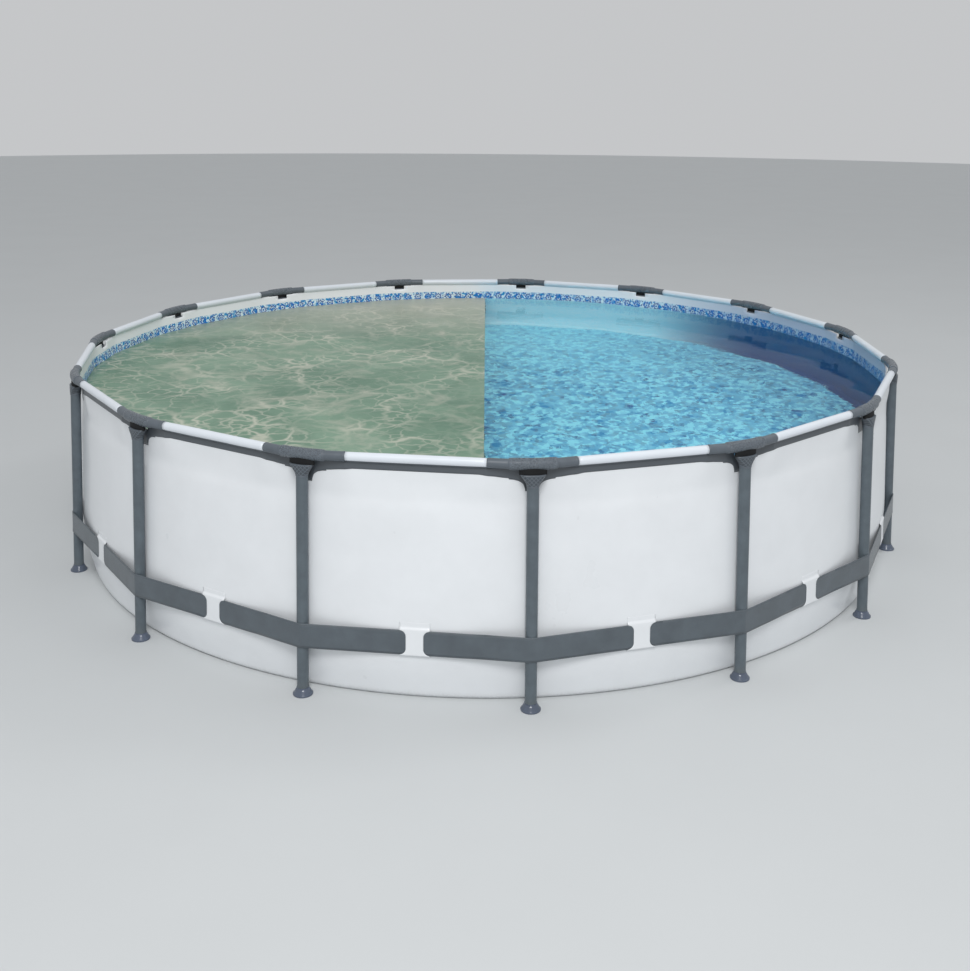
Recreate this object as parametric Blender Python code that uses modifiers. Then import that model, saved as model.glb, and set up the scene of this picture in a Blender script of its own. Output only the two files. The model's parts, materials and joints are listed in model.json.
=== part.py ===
"""Round above-ground swimming pool with a bolt-free steel frame.

Fifteen straight top rails run through sleeves along the top of a soft liner.
T-connectors join the rails in a ring, and each stands on one splayed leg.
A flat belt goes round the outside of the legs, low down, and through loops on
the liner, and it takes the outward push of the water.  Two hose fittings and a
drain valve sit in one bay of the wall.

Origin: centre of the pool on the ground.  +Z is up, and leg_01 stands at -Y.
Lengths are in metres.
"""

import math

import bmesh
import bpy
from mathutils import Matrix, Vector

# ---------------------------------------------------------------- overall sizes
BAYS = 15
RING_RADIUS = 2.25  # from the pool's centre to the middle of a connector's bar
RAIL_HEIGHT = 1.046  # height of the rail axes
LEG_SPLAY = 0.09  # how far a foot stands outside its connector

# ---------------------------------------------------------------- steel frame
RAIL_DIAMETER = 0.035
RAIL_WALL = 0.0015
LEG_DIAMETER = 0.050
LEG_WALL = 0.0015
SWAGE_DIAMETER = 0.044  # the leg's narrowed top, inside the connector
SWAGE_STEP = 0.003
FOOT_DIAMETER = 0.086
FOOT_HEIGHT = 0.028
FOOT_RIM = 0.006
FOOT_FLOOR = 0.003  # from the foot cap's shoulder up to the tube's inside end

# ---------------------------------------------------------------- T-connector
ARM_LENGTH = 0.1825  # along the bar, from its middle
ARM_WALL = 0.0026
SOCKET_DEPTH = 0.060  # the arm is straight along its socket, and bent from there to the middle
SADDLE_HALF_LENGTH = 0.096
SADDLE_EXTRA = 0.004  # how much thicker the middle is than the arms
SADDLE_TAPER = 0.006
BAR_OVERRUN = 0.012  # past the middle, cut off where the two arms meet
BEND_STEPS = 4
NECK_TOP = 0.012  # all four heights are measured down from the rail axis
NECK_BOTTOM = 0.036
COLLAR_TOP = 0.040
COLLAR_BOTTOM = 0.092
NECK_HALF_WIDTH = 0.044
COLLAR_HALF_WIDTH = 0.052
COLLAR_SQUEEZE = 0.52  # depth of the fan-shaped collar over its width
COLLAR_WALL = 0.0041
COLLAR_SOCKET_ROOF = 0.046
COLLAR_CLEARANCE = 0.003  # from the wall to a collar

# ---------------------------------------------------------------- liner
LINER_THICKNESS = 0.003
BOTTOM_TUCK = 0.0245  # how far the wall's lowest bend pulls in to the ground
HEM_WIDTH = 0.046  # strip of the wall that lies on the ground, up to the floor sheet
SLEEVE_THICKNESS = 0.003
SLEEVE_END_GAP = 0.001
NOTCH_DEPTH = 0.031  # the wall's edge under a connector, below the rail axis
NOTCH_MARGIN = 0.001
SKIRT_DEPTH = 0.081  # where the wall leaves the round and follows the rails
WALL_TO_BELT = 0.004  # least gap from the wall to the belt, half-way between two legs
# Where the wall bends: a height, and the gap from the wall to a leg there.
GROUND_LEVELS = ((0.0356, 0.0500), (0.1506, 0.0210))  # heights above the ground
BELT_LEVELS = ((0.0, 0.0057), (0.2197, 0.0053))  # heights above the middle of the belt
RAIL_LEVELS = ((0.2709, 0.0077), (0.1663, 0.0140))  # depths below the rail axes

# ---------------------------------------------------------------- belt
BELT_HEIGHT = 0.275
BELT_WIDTH = 0.108
BELT_THICKNESS = 0.002
LOOP_WIDTH = 0.068
LOOP_THICKNESS = 0.0025
LOOP_WELD = 0.016
LOOP_SLACK = 0.004
LOOP_ROOT = 0.0022  # how deep a loop's weld reaches into the wall

# ---------------------------------------------------------------- wall fittings
FITTING_BAY = 9
PORT_BORE = 0.0215
PORT_WALL = 0.004
PORT_LENGTH = 0.060
PORT_FLANGE = 0.045
PORT_FLANGE_THICKNESS = 0.004
GASKET_RADIUS = 0.040
GASKET_THICKNESS = 0.002
NUT_RADIUS = 0.041
NUT_LENGTH = 0.014
STOPPER_LENGTH = 0.036
STOPPER_FLANGE = 0.034
STOPPER_FLANGE_THICKNESS = 0.003
STOPPER_GRIP = 0.008
STOPPER_GRIP_LENGTH = 0.014
DRAIN_BORE = 0.0115
DRAIN_WALL = 0.0045
DRAIN_LENGTH = 0.035
DRAIN_FLANGE = 0.032
DRAIN_FLANGE_THICKNESS = 0.003
DRAIN_PLUG_LENGTH = 0.024
DRAIN_PLUG_FLANGE = 0.020
DRAIN_CAP_WALL = 0.004
DRAIN_CAP_START = 0.006
THREAD_GAP = 0.0007

# ---------------------------------------------------------------- clearances
GAP = 0.0004  # between a piece and the socket it sits in
TOUCH = 0.0003  # between two faces that rest on each other
BELT_GAP = 0.0005
SIDES = 10  # flats round a tube
FITTING_SIDES = 12

# ---------------------------------------------------------------- derived sizes
BAY_ANGLE = 2.0 * math.pi / BAYS
HALF_BAY = math.pi / BAYS
BEND_LENGTH = ARM_LENGTH - SOCKET_DEPTH
BEND_RADIUS = BEND_LENGTH / HALF_BAY
APOTHEM = RING_RADIUS * math.cos(HALF_BAY) + BEND_RADIUS * (1.0 - math.cos(HALF_BAY))
CORNER_RADIUS = APOTHEM / math.cos(HALF_BAY)  # where two rail axes would cross
CORNER_TO_SOCKET = BEND_RADIUS * math.tan(HALF_BAY)
CORNER_TO_SLEEVE = CORNER_TO_SOCKET + SOCKET_DEPTH + SLEEVE_END_GAP
CHORD = 2.0 * APOTHEM * math.tan(HALF_BAY)
RAIL_RADIUS = RAIL_DIAMETER / 2.0
LEG_RADIUS = LEG_DIAMETER / 2.0
SWAGE_RADIUS = SWAGE_DIAMETER / 2.0
SOCKET_RADIUS = RAIL_RADIUS + GAP
ARM_RADIUS = SOCKET_RADIUS + ARM_WALL
RAIL_LENGTH = CHORD - 2.0 * (CORNER_TO_SOCKET + GAP)
SLEEVE_INNER = RAIL_RADIUS + BELT_GAP
SLEEVE_OUTER = SLEEVE_INNER + SLEEVE_THICKNESS
SLEEVE_LENGTH = CHORD - 2.0 * CORNER_TO_SLEEVE
SLEEVE_ANGLE = HALF_BAY - math.atan2(SLEEVE_LENGTH / 2.0, APOTHEM)
PORT_OUTER = PORT_BORE + PORT_WALL
DRAIN_OUTER = DRAIN_BORE + DRAIN_WALL
SKIN = LINER_THICKNESS / 2.0

COLOURS = {
    "liner_grey": ((226, 230, 233), 0.35, 0.0),
    "floor_blue": ((60, 140, 190), 0.35, 0.0),
    "leg_paint": ((94, 105, 111), 0.42, 0.3),
    "connector_grey": ((98, 107, 114), 0.5, 0.1),
    "rail_steel": ((150, 156, 160), 0.35, 0.9),
    "belt_grey": ((94, 102, 108), 0.6, 0.0),
    "fitting_white": ((215, 218, 220), 0.4, 0.0),
    "fitting_grey": ((120, 126, 132), 0.45, 0.0),
    "rubber_black": ((30, 30, 32), 0.7, 0.0),
}


# ---------------------------------------------------------------- scene helpers
def clear_scene():
    for old in list(bpy.data.objects):
        bpy.data.objects.remove(old, do_unlink=True)


def collection(name):
    made = bpy.data.collections.new(name)
    bpy.context.scene.collection.children.link(made)
    return made


def linear(channel):
    value = channel / 255.0
    return value / 12.92 if value <= 0.04045 else ((value + 0.055) / 1.055) ** 2.4


def material(name):
    found = bpy.data.materials.get(name)
    if found:
        return found
    colour, roughness, metallic = COLOURS[name]
    made = bpy.data.materials.new(name)
    made.use_nodes = True
    shader = made.node_tree.nodes["Principled BSDF"]
    shader.inputs["Base Color"].default_value = (*[linear(c) for c in colour], 1.0)
    shader.inputs["Roughness"].default_value = roughness
    shader.inputs["Metallic"].default_value = metallic
    return made


def add_object(name, mesh, group, finish=None, parent=None, location=(0, 0, 0), turn=None):
    made = bpy.data.objects.new(name, mesh)
    group.objects.link(made)
    made.parent = parent
    made.location = location
    if turn is not None:
        made.rotation_euler = turn.to_euler()
    if finish:
        if not mesh.materials:
            mesh.materials.append(material(finish))
    return made


def add_empty(name, group, angle):
    made = bpy.data.objects.new(name, None)
    group.objects.link(made)
    made.rotation_euler = (0.0, 0.0, angle)
    return made


def as_cutter(made):
    made.hide_render = True
    made.display_type = "WIRE"
    return made


def baked_mesh(made, name):
    """The object's evaluated mesh as plain data; the object itself is removed."""
    bpy.context.view_layer.update()
    evaluated = made.evaluated_get(bpy.context.evaluated_depsgraph_get())
    mesh = bpy.data.meshes.new_from_object(evaluated)
    mesh.name = name
    bpy.data.objects.remove(made, do_unlink=True)
    return mesh


def mesh_from(name, build):
    """A mesh filled by build(bm)."""
    mesh = bpy.data.meshes.new(name)
    bm = bmesh.new()
    build(bm)
    bm.to_mesh(mesh)
    bm.free()
    return mesh


def boolean(made, other, operation):
    step = made.modifiers.new(other.name, "BOOLEAN")
    step.operation = operation
    step.object = other
    step.solver = "EXACT"


def solidify(made, thickness, offset):
    shell = made.modifiers.new("thickness", "SOLIDIFY")
    shell.thickness = thickness
    shell.offset = offset
    shell.use_even_offset = True


def turned_mesh(name, profile, sides, closed=False):
    """A profile of (radius, height) turned about Z; its outer side runs downwards."""

    def outline(bm):
        points = [bm.verts.new((radius, 0.0, height)) for radius, height in profile]
        for start, end in zip(points, points[1:]):
            bm.edges.new((start, end))
        if closed:
            bm.edges.new((points[-1], points[0]))

    made = bpy.data.objects.new(name, mesh_from(name, outline))
    bpy.context.scene.collection.objects.link(made)
    screw = made.modifiers.new("turn", "SCREW")
    screw.axis = "Z"
    screw.steps = sides
    screw.render_steps = sides
    screw.use_merge_vertices = True
    screw.merge_threshold = 0.00001
    screw.use_smooth_shade = True
    mesh = baked_mesh(made, name)
    mesh.set_sharp_from_angle(angle=math.radians(40.0))
    return mesh


def ring_profile(inner, outer, low, high):
    return [(outer, high), (outer, low), (inner, low), (inner, high)]


def frame_matrix(x_axis, z_axis):
    """Rotation whose local X and Z lie along the two given unit vectors."""
    y_axis = z_axis.cross(x_axis)
    return Matrix((x_axis, y_axis, z_axis)).transposed()


# ---------------------------------------------------------------- places
def station_angle(index):
    return -math.pi / 2.0 + index * BAY_ANGLE


def leg_axis_radius(height):
    return RING_RADIUS + LEG_SPLAY * (1.0 - height / RAIL_HEIGHT)


def lean(mesh, above_ground):
    """Shear a mesh along X so that it follows the splayed leg; above_ground is its origin's height."""
    slope = LEG_SPLAY / RAIL_HEIGHT
    shear = Matrix.Identity(4)
    shear[0][2] = -slope
    shear[0][3] = slope * (RAIL_HEIGHT - above_ground)
    mesh.transform(shear)


def belt_inner(height):
    """Distance of the belt's inner face from the pool's axis, half-way between two legs."""
    return leg_axis_radius(height) * math.cos(HALF_BAY) + LEG_RADIUS + BELT_GAP


def wall_levels():
    """(height, outer radius) of the round part of the wall, from the bottom up."""
    bends = list(GROUND_LEVELS)
    bends += [(BELT_HEIGHT + rise, gap) for rise, gap in BELT_LEVELS]
    bends += [(RAIL_HEIGHT - drop, gap) for drop, gap in RAIL_LEVELS]
    levels = []
    for height, gap in bends:
        at_leg = leg_axis_radius(height) - LEG_RADIUS - gap
        levels.append((height, min(at_leg, belt_inner(height) - WALL_TO_BELT)))
    return levels


def wall_outer(height):
    """Outer radius of the round wall at a height between two levels."""
    levels = wall_levels()
    for (low, low_radius), (high, high_radius) in zip(levels, levels[1:]):
        if height <= high:
            share = (height - low) / (high - low)
            return low_radius + share * (high_radius - low_radius)
    return levels[-1][1]


def wall_columns():
    """Angle and straight-sided radius of each column of the wall, round the pool."""
    columns = []
    at_sleeve_end = APOTHEM / math.cos(HALF_BAY - SLEEVE_ANGLE)
    collar_inner = leg_axis_radius(RAIL_HEIGHT - COLLAR_TOP) - COLLAR_HALF_WIDTH * COLLAR_SQUEEZE
    at_leg = min(at_sleeve_end * math.cos(SLEEVE_ANGLE), collar_inner - COLLAR_CLEARANCE - SKIN)
    for index in range(BAYS):
        start = station_angle(index)
        columns.append((start, at_leg))
        columns.append((start + SLEEVE_ANGLE, at_sleeve_end))
        columns.append((start + HALF_BAY, APOTHEM))
        columns.append((start + BAY_ANGLE - SLEEVE_ANGLE, at_sleeve_end))
    return columns


def ground_radii():
    """Radii where the wall's hem begins, at the floor sheet, and where it turns up."""
    bend = wall_levels()[0][1] - SKIN - BOTTOM_TUCK
    return bend - HEM_WIDTH, bend


def wall_facet(column, level):
    """Centre and axes of one flat panel of the wall; local Z points outwards."""
    angles = [angle for angle, _ in wall_columns()]
    corners = [
        Vector(((radius - SKIN) * math.cos(angle), (radius - SKIN) * math.sin(angle), height))
        for height, radius in wall_levels()[level : level + 2]
        for angle in angles[column : column + 2]
    ]
    centre = sum(corners, Vector()) / len(corners)
    along = (corners[1] - corners[0]).normalized()
    up = ((corners[2] + corners[3]) / 2.0 - (corners[0] + corners[1]) / 2.0).normalized()
    return centre, frame_matrix(along, along.cross(up).normalized())


# ---------------------------------------------------------------- frame pieces
def rail_mesh():
    half = RAIL_LENGTH / 2.0
    return turned_mesh(
        "top_rail",
        ring_profile(RAIL_RADIUS - RAIL_WALL, RAIL_RADIUS, -half, half),
        SIDES,
        closed=True,
    )


def leg_mesh():
    """Leg tube with its narrowed top and its flared foot cap."""
    shoulder = RAIL_HEIGHT - COLLAR_BOTTOM - TOUCH
    top = RAIL_HEIGHT - COLLAR_SOCKET_ROOF - TOUCH
    bore = LEG_RADIUS - LEG_WALL
    narrow_bore = SWAGE_RADIUS - LEG_WALL
    inside_end = FOOT_HEIGHT + FOOT_FLOOR
    foot_radius = FOOT_DIAMETER / 2.0
    profile = [
        (0.0, inside_end),
        (bore, inside_end),
        (bore, shoulder - SWAGE_STEP),
        (narrow_bore, shoulder),
        (narrow_bore, top),
        (SWAGE_RADIUS, top),
        (SWAGE_RADIUS, shoulder),
        (LEG_RADIUS, shoulder - SWAGE_STEP),
        (LEG_RADIUS, FOOT_HEIGHT),
        (foot_radius, FOOT_RIM),
        (foot_radius, 0.0),
        (0.0, 0.0),
    ]
    mesh = turned_mesh("leg", profile, SIDES)
    lean(mesh, 0.0)
    return mesh


def collar_mesh():
    """Fan-shaped collar under the connector: round at the leg, wide and flat at the bar."""
    socket = SWAGE_RADIUS + GAP
    rim = socket + COLLAR_WALL
    profile = [
        (0.0, -NECK_TOP),
        (NECK_HALF_WIDTH, -NECK_TOP),
        (NECK_HALF_WIDTH, -NECK_BOTTOM),
        (COLLAR_HALF_WIDTH, -COLLAR_TOP),
        (rim, -COLLAR_BOTTOM),
        (socket, -COLLAR_BOTTOM),
        (socket, -COLLAR_SOCKET_ROOF),
        (0.0, -COLLAR_SOCKET_ROOF),
    ]
    mesh = turned_mesh("collar", profile, SIDES)
    for vertex in mesh.vertices:
        if vertex.co.xy.length > rim + GAP:
            vertex.co.x *= COLLAR_SQUEEZE
    lean(mesh, RAIL_HEIGHT)
    return mesh


def bent(spot):
    """Moves a point of a bar that runs along +Y on to the bend, which ends in line with a rail."""
    turn = min(spot.y, BEND_LENGTH) / BEND_RADIUS
    beyond = max(spot.y - BEND_LENGTH, 0.0)
    reach = BEND_RADIUS + spot.x
    return Vector(
        (
            reach * math.cos(turn) - BEND_RADIUS - beyond * math.sin(turn),
            reach * math.sin(turn) + beyond * math.cos(turn),
            spot.z,
        )
    )


def connector_mesh(cutters):
    """Bent bar with a rail socket in each end, on its collar."""
    saddle_radius = ARM_RADIUS + SADDLE_EXTRA
    saddle_end = SADDLE_HALF_LENGTH - SADDLE_TAPER
    profile = [
        (0.0, BEND_LENGTH),
        (SOCKET_RADIUS, BEND_LENGTH),
        (SOCKET_RADIUS, ARM_LENGTH),
        (ARM_RADIUS, ARM_LENGTH),
        (ARM_RADIUS, BEND_LENGTH),
        (ARM_RADIUS, SADDLE_HALF_LENGTH),
    ]
    profile += [(saddle_radius, saddle_end * (1.0 - step / BEND_STEPS)) for step in range(BEND_STEPS + 1)]
    profile += [(saddle_radius, -BAR_OVERRUN), (0.0, -BAR_OVERRUN)]
    mesh = turned_mesh("connector_bar", profile, SIDES)
    mesh.transform(frame_matrix(Vector((0.0, 0.0, 1.0)), Vector((0.0, 1.0, 0.0))).to_4x4())
    for vertex in mesh.vertices:
        vertex.co = bent(vertex.co)
    bar = add_object("connector_bar", mesh, cutters)
    mirror = bar.modifiers.new("other_arm", "MIRROR")
    mirror.use_axis = (False, True, False)
    mirror.use_bisect_axis = (False, True, False)
    mirror.use_bisect_flip_axis = (False, False, False)
    mirror.merge_threshold = 0.0001
    collar = add_object("connector_collar", collar_mesh(), cutters)
    boolean(bar, collar, "UNION")
    joined = baked_mesh(bar, "t_connector")
    bpy.data.objects.remove(collar, do_unlink=True)
    joined.set_sharp_from_angle(angle=math.radians(40.0))
    return joined


def build_frame(part, cutters, stations, bays):
    along_rail = frame_matrix(Vector((0.0, 0.0, 1.0)), Vector((0.0, 1.0, 0.0)))
    connector = connector_mesh(cutters)
    leg = leg_mesh()
    rail = rail_mesh()
    for index in range(BAYS):
        label = f"{index + 1:02d}"
        corner = (RING_RADIUS, 0.0, RAIL_HEIGHT)
        foot = (RING_RADIUS, 0.0, 0.0)
        middle = (APOTHEM, 0.0, RAIL_HEIGHT)
        add_object(f"t_connector_{label}", connector, part, "connector_grey", stations[index], corner)
        add_object(f"leg_{label}", leg, part, "leg_paint", stations[index], foot)
        add_object(f"top_rail_{label}", rail, part, "rail_steel", bays[index], middle, along_rail)


# ---------------------------------------------------------------- liner
def wall_surface(bm):
    """Middle surface of the wall: round below, and straight along each rail at the top."""
    columns = wall_columns()
    levels = wall_levels()
    sleeve_bottom = RAIL_HEIGHT - (SLEEVE_INNER + SLEEVE_OUTER) / 2.0
    rings = [[(radius, SKIN)] * len(columns) for radius in ground_radii()]
    rings += [[(radius - SKIN, height)] * len(columns) for height, radius in levels]
    for height in (RAIL_HEIGHT - SKIRT_DEPTH, sleeve_bottom):
        rings.append([(radius, height) for _, radius in columns])
    grid = [
        [
            bm.verts.new((radius * math.cos(angle), radius * math.sin(angle), height))
            for (angle, _), (radius, height) in zip(columns, ring)
        ]
        for ring in rings
    ]
    for lower, upper in zip(grid, grid[1:]):
        for index in range(len(columns)):
            after = (index + 1) % len(columns)
            bm.faces.new((lower[index], lower[after], upper[after], upper[index]))


def floor_surface(bm):
    """Middle surface of the floor sheet, with the wall's own outline just inside its hem."""
    radius = ground_radii()[0] - 2.0 * TOUCH
    angles = [angle for angle, _ in wall_columns()]
    bm.faces.new([bm.verts.new((radius * math.cos(a), radius * math.sin(a), SKIN)) for a in angles])


def sleeve_set(bm):
    """One tunnel round each rail."""
    half = SLEEVE_LENGTH / 2.0
    profile = ring_profile(SLEEVE_INNER, SLEEVE_OUTER, -half, half)
    tube = turned_mesh("sleeve", profile, SIDES, closed=True)
    along_rail = frame_matrix(Vector((0.0, 0.0, 1.0)), Vector((0.0, 1.0, 0.0))).to_4x4()
    tube.transform(Matrix.Translation((APOTHEM, 0.0, RAIL_HEIGHT)) @ along_rail)
    for index in range(BAYS):
        placed = tube.copy()
        placed.transform(Matrix.Rotation(station_angle(index) + HALF_BAY, 4, "Z"))
        bm.from_mesh(placed)
        bpy.data.meshes.remove(placed)


def notch_set(bm):
    """A cutter under each connector, where the sleeve stops."""
    half_width = CORNER_TO_SLEEVE * math.cos(HALF_BAY) + NOTCH_MARGIN
    depth = 4.0 * SLEEVE_OUTER
    middle = CORNER_RADIUS - CORNER_TO_SLEEVE * math.sin(HALF_BAY)
    size = Matrix.Diagonal((depth, 2.0 * half_width, 2.0 * NOTCH_DEPTH, 1.0))
    for index in range(BAYS):
        turn = Matrix.Rotation(station_angle(index), 4, "Z")
        place = Matrix.Translation((middle, 0.0, RAIL_HEIGHT))
        bmesh.ops.create_cube(bm, size=1.0, matrix=turn @ place @ size)


def loop_set(bm):
    """A welded loop over the belt in the middle of each bay."""
    inner = BELT_WIDTH / 2.0 + LOOP_SLACK
    outer = inner + LOOP_WELD
    away = BELT_THICKNESS + 2.0 * BELT_GAP
    high, low = BELT_HEIGHT + outer, BELT_HEIGHT - outer
    roof, sill = BELT_HEIGHT + inner, BELT_HEIGHT - inner
    outline = [
        (wall_outer(high) - LOOP_ROOT, high),
        (belt_inner(high) + away + LOOP_THICKNESS, high),
        (belt_inner(low) + away + LOOP_THICKNESS, low),
        (wall_outer(low) - LOOP_ROOT, low),
        (wall_outer(sill) - LOOP_ROOT, sill),
        (belt_inner(sill) + away, sill),
        (belt_inner(roof) + away, roof),
        (wall_outer(roof) - LOOP_ROOT, roof),
    ]
    for index in range(BAYS):
        turn = Matrix.Rotation(station_angle(index) + HALF_BAY, 4, "Z")
        corners = [bm.verts.new(turn @ Vector((x, -LOOP_WIDTH / 2.0, z))) for x, z in outline]
        face = bm.faces.new(corners)
        swept = bmesh.ops.extrude_face_region(bm, geom=[face])
        moved = [item for item in swept["geom"] if isinstance(item, bmesh.types.BMVert)]
        across = turn.to_3x3() @ Vector((0.0, LOOP_WIDTH, 0.0))
        bmesh.ops.translate(bm, verts=moved, vec=across)
    bmesh.ops.recalc_face_normals(bm, faces=bm.faces)


def hole_cutter(name, cutters, radius, place):
    centre, turn = place
    reach = 10.0 * LINER_THICKNESS
    profile = [(0.0, reach), (radius, reach), (radius, -reach), (0.0, -reach)]
    mesh = turned_mesh(name, profile, FITTING_SIDES)
    return as_cutter(add_object(name, mesh, cutters, location=centre, turn=turn))


def build_liner(part, cutters, places):
    wall = add_object("liner_wall", mesh_from("liner_wall", wall_surface), part, "liner_grey")
    solidify(wall, LINER_THICKNESS, 0.0)
    notches = as_cutter(add_object("sleeve_notches", mesh_from("notches", notch_set), cutters))
    sleeves = as_cutter(add_object("sleeves", mesh_from("sleeves", sleeve_set), cutters))
    loops = as_cutter(add_object("belt_loops", mesh_from("loops", loop_set), cutters))
    boolean(wall, notches, "DIFFERENCE")
    boolean(wall, sleeves, "UNION")
    boolean(wall, loops, "UNION")
    for name, radius in (("inlet", PORT_OUTER), ("outlet", PORT_OUTER), ("drain", DRAIN_OUTER)):
        hole = hole_cutter(f"{name}_hole", cutters, radius + THREAD_GAP, places[name])
        boolean(wall, hole, "DIFFERENCE")

    floor = add_object("liner_floor", mesh_from("liner_floor", floor_surface), part, "floor_blue")
    solidify(floor, LINER_THICKNESS, 0.0)


# ---------------------------------------------------------------- belt
def belt_surface(bm):
    """Inner face of the belt: it wraps each leg and runs straight to the next."""
    wrap = LEG_RADIUS + BELT_GAP
    rings = []
    for height in (BELT_HEIGHT - BELT_WIDTH / 2.0, BELT_HEIGHT + BELT_WIDTH / 2.0):
        ring = []
        for index in range(BAYS):
            turn = Matrix.Rotation(station_angle(index), 4, "Z")
            for share in (-1.0, -1.0 / 3.0, 1.0 / 3.0, 1.0):
                bend = share * HALF_BAY
                x = leg_axis_radius(height) + wrap * math.cos(bend)
                ring.append(bm.verts.new(turn @ Vector((x, wrap * math.sin(bend), height))))
        rings.append(ring)
    lower, upper = rings
    for index in range(len(lower)):
        after = (index + 1) % len(lower)
        bm.faces.new((lower[index], lower[after], upper[after], upper[index]))


def build_belt(part):
    belt = add_object("belt", mesh_from("belt", belt_surface), part, "belt_grey")
    solidify(belt, BELT_THICKNESS, 1.0)


# ---------------------------------------------------------------- wall fittings
def add_turned(name, profile, part, finish, place, closed=False):
    centre, turn = place
    mesh = turned_mesh(name, profile, FITTING_SIDES, closed)
    return add_object(name, mesh, part, finish, location=centre, turn=turn)


def build_port(name, part, place):
    """Hose fitting clamped through the wall, with its gasket, nut and stopper."""
    inside = -SKIN - TOUCH
    back = inside - PORT_FLANGE_THICKNESS
    body = [
        (PORT_OUTER, PORT_LENGTH),
        (PORT_OUTER, inside),
        (PORT_FLANGE, inside),
        (PORT_FLANGE, back),
        (PORT_BORE, back),
        (PORT_BORE, PORT_LENGTH),
    ]
    add_turned(f"{name}_fitting", body, part, "fitting_grey", place, closed=True)
    clear = PORT_OUTER + THREAD_GAP
    gasket_low = SKIN + TOUCH
    gasket_high = gasket_low + GASKET_THICKNESS
    gasket = ring_profile(clear, GASKET_RADIUS, gasket_low, gasket_high)
    add_turned(f"{name}_gasket", gasket, part, "rubber_black", place, closed=True)
    nut_low = gasket_high + TOUCH
    nut = ring_profile(clear, NUT_RADIUS, nut_low, nut_low + NUT_LENGTH)
    add_turned(f"{name}_nut", nut, part, "fitting_grey", place, closed=True)
    seat = back - TOUCH
    flange_back = seat - STOPPER_FLANGE_THICKNESS
    grip_end = flange_back - STOPPER_GRIP_LENGTH
    stopper_radius = PORT_BORE - GAP
    stopper = [
        (0.0, seat + STOPPER_LENGTH),
        (stopper_radius, seat + STOPPER_LENGTH),
        (stopper_radius, seat),
        (STOPPER_FLANGE, seat),
        (STOPPER_FLANGE, flange_back),
        (STOPPER_GRIP, flange_back),
        (STOPPER_GRIP, grip_end),
        (0.0, grip_end),
    ]
    add_turned(f"{name}_stopper", stopper, part, "rubber_black", place)


def build_drain(part, place):
    """Drain valve: body through the wall, inner plug and outer screw cap."""
    inside = -SKIN - TOUCH
    back = inside - DRAIN_FLANGE_THICKNESS
    body = [
        (DRAIN_OUTER, DRAIN_LENGTH),
        (DRAIN_OUTER, inside),
        (DRAIN_FLANGE, inside),
        (DRAIN_FLANGE, back),
        (DRAIN_BORE, back),
        (DRAIN_BORE, DRAIN_LENGTH),
    ]
    add_turned("drain_body", body, part, "fitting_white", place, closed=True)
    seat = back - TOUCH
    flange_back = seat - DRAIN_FLANGE_THICKNESS
    plug_radius = DRAIN_BORE - GAP
    plug = [
        (0.0, seat + DRAIN_PLUG_LENGTH),
        (plug_radius, seat + DRAIN_PLUG_LENGTH),
        (plug_radius, seat),
        (DRAIN_PLUG_FLANGE, seat),
        (DRAIN_PLUG_FLANGE, flange_back),
        (0.0, flange_back),
    ]
    add_turned("drain_plug", plug, part, "fitting_white", place)
    cap_bore = DRAIN_OUTER + THREAD_GAP
    cap_outer = cap_bore + DRAIN_CAP_WALL
    cap_floor = DRAIN_LENGTH + TOUCH
    cap_end = cap_floor + DRAIN_CAP_WALL
    cap = [
        (0.0, cap_end),
        (cap_outer, cap_end),
        (cap_outer, DRAIN_CAP_START),
        (cap_bore, DRAIN_CAP_START),
        (cap_bore, cap_floor),
        (0.0, cap_floor),
    ]
    add_turned("drain_cap", cap, part, "fitting_white", place)


# ---------------------------------------------------------------- whole pool
def main():
    clear_scene()
    part = collection("frame_pool")
    cutters = collection("cutters")
    stations = []
    bays = []
    for index in range(BAYS):
        label = f"{index + 1:02d}"
        stations.append(add_empty(f"station_{label}", part, station_angle(index)))
        bays.append(add_empty(f"bay_{label}", part, station_angle(index) + HALF_BAY))
    first_column = 4 * FITTING_BAY
    places = {
        "drain": wall_facet(first_column, 0),
        "outlet": wall_facet(first_column + 1, 2),
        "inlet": wall_facet(first_column + 2, 3),
    }
    build_frame(part, cutters, stations, bays)
    build_liner(part, cutters, places)
    build_belt(part)
    build_port("inlet", part, places["inlet"])
    build_port("outlet", part, places["outlet"])
    build_drain(part, places["drain"])
    bpy.context.view_layer.update()


main()
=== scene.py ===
"""Finished look of a round steel-frame pool, laid out as a Blender add-on and run as a script.

Each operator in the 3D view's sidebar makes one kind of piece round the packed frame: leg
tubes, foot caps, connectors, the liner with its sleeves, strips and loops, the belt, the hose
fittings, the drain and the two bodies of water.  Lengths are in metres, +Z is up, and bay
and leg numbers run anticlockwise seen from above, from the leg at -Y.
"""

import json
import math
import random

import bmesh
import bpy
from mathutils import Matrix, Vector, noise

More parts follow.
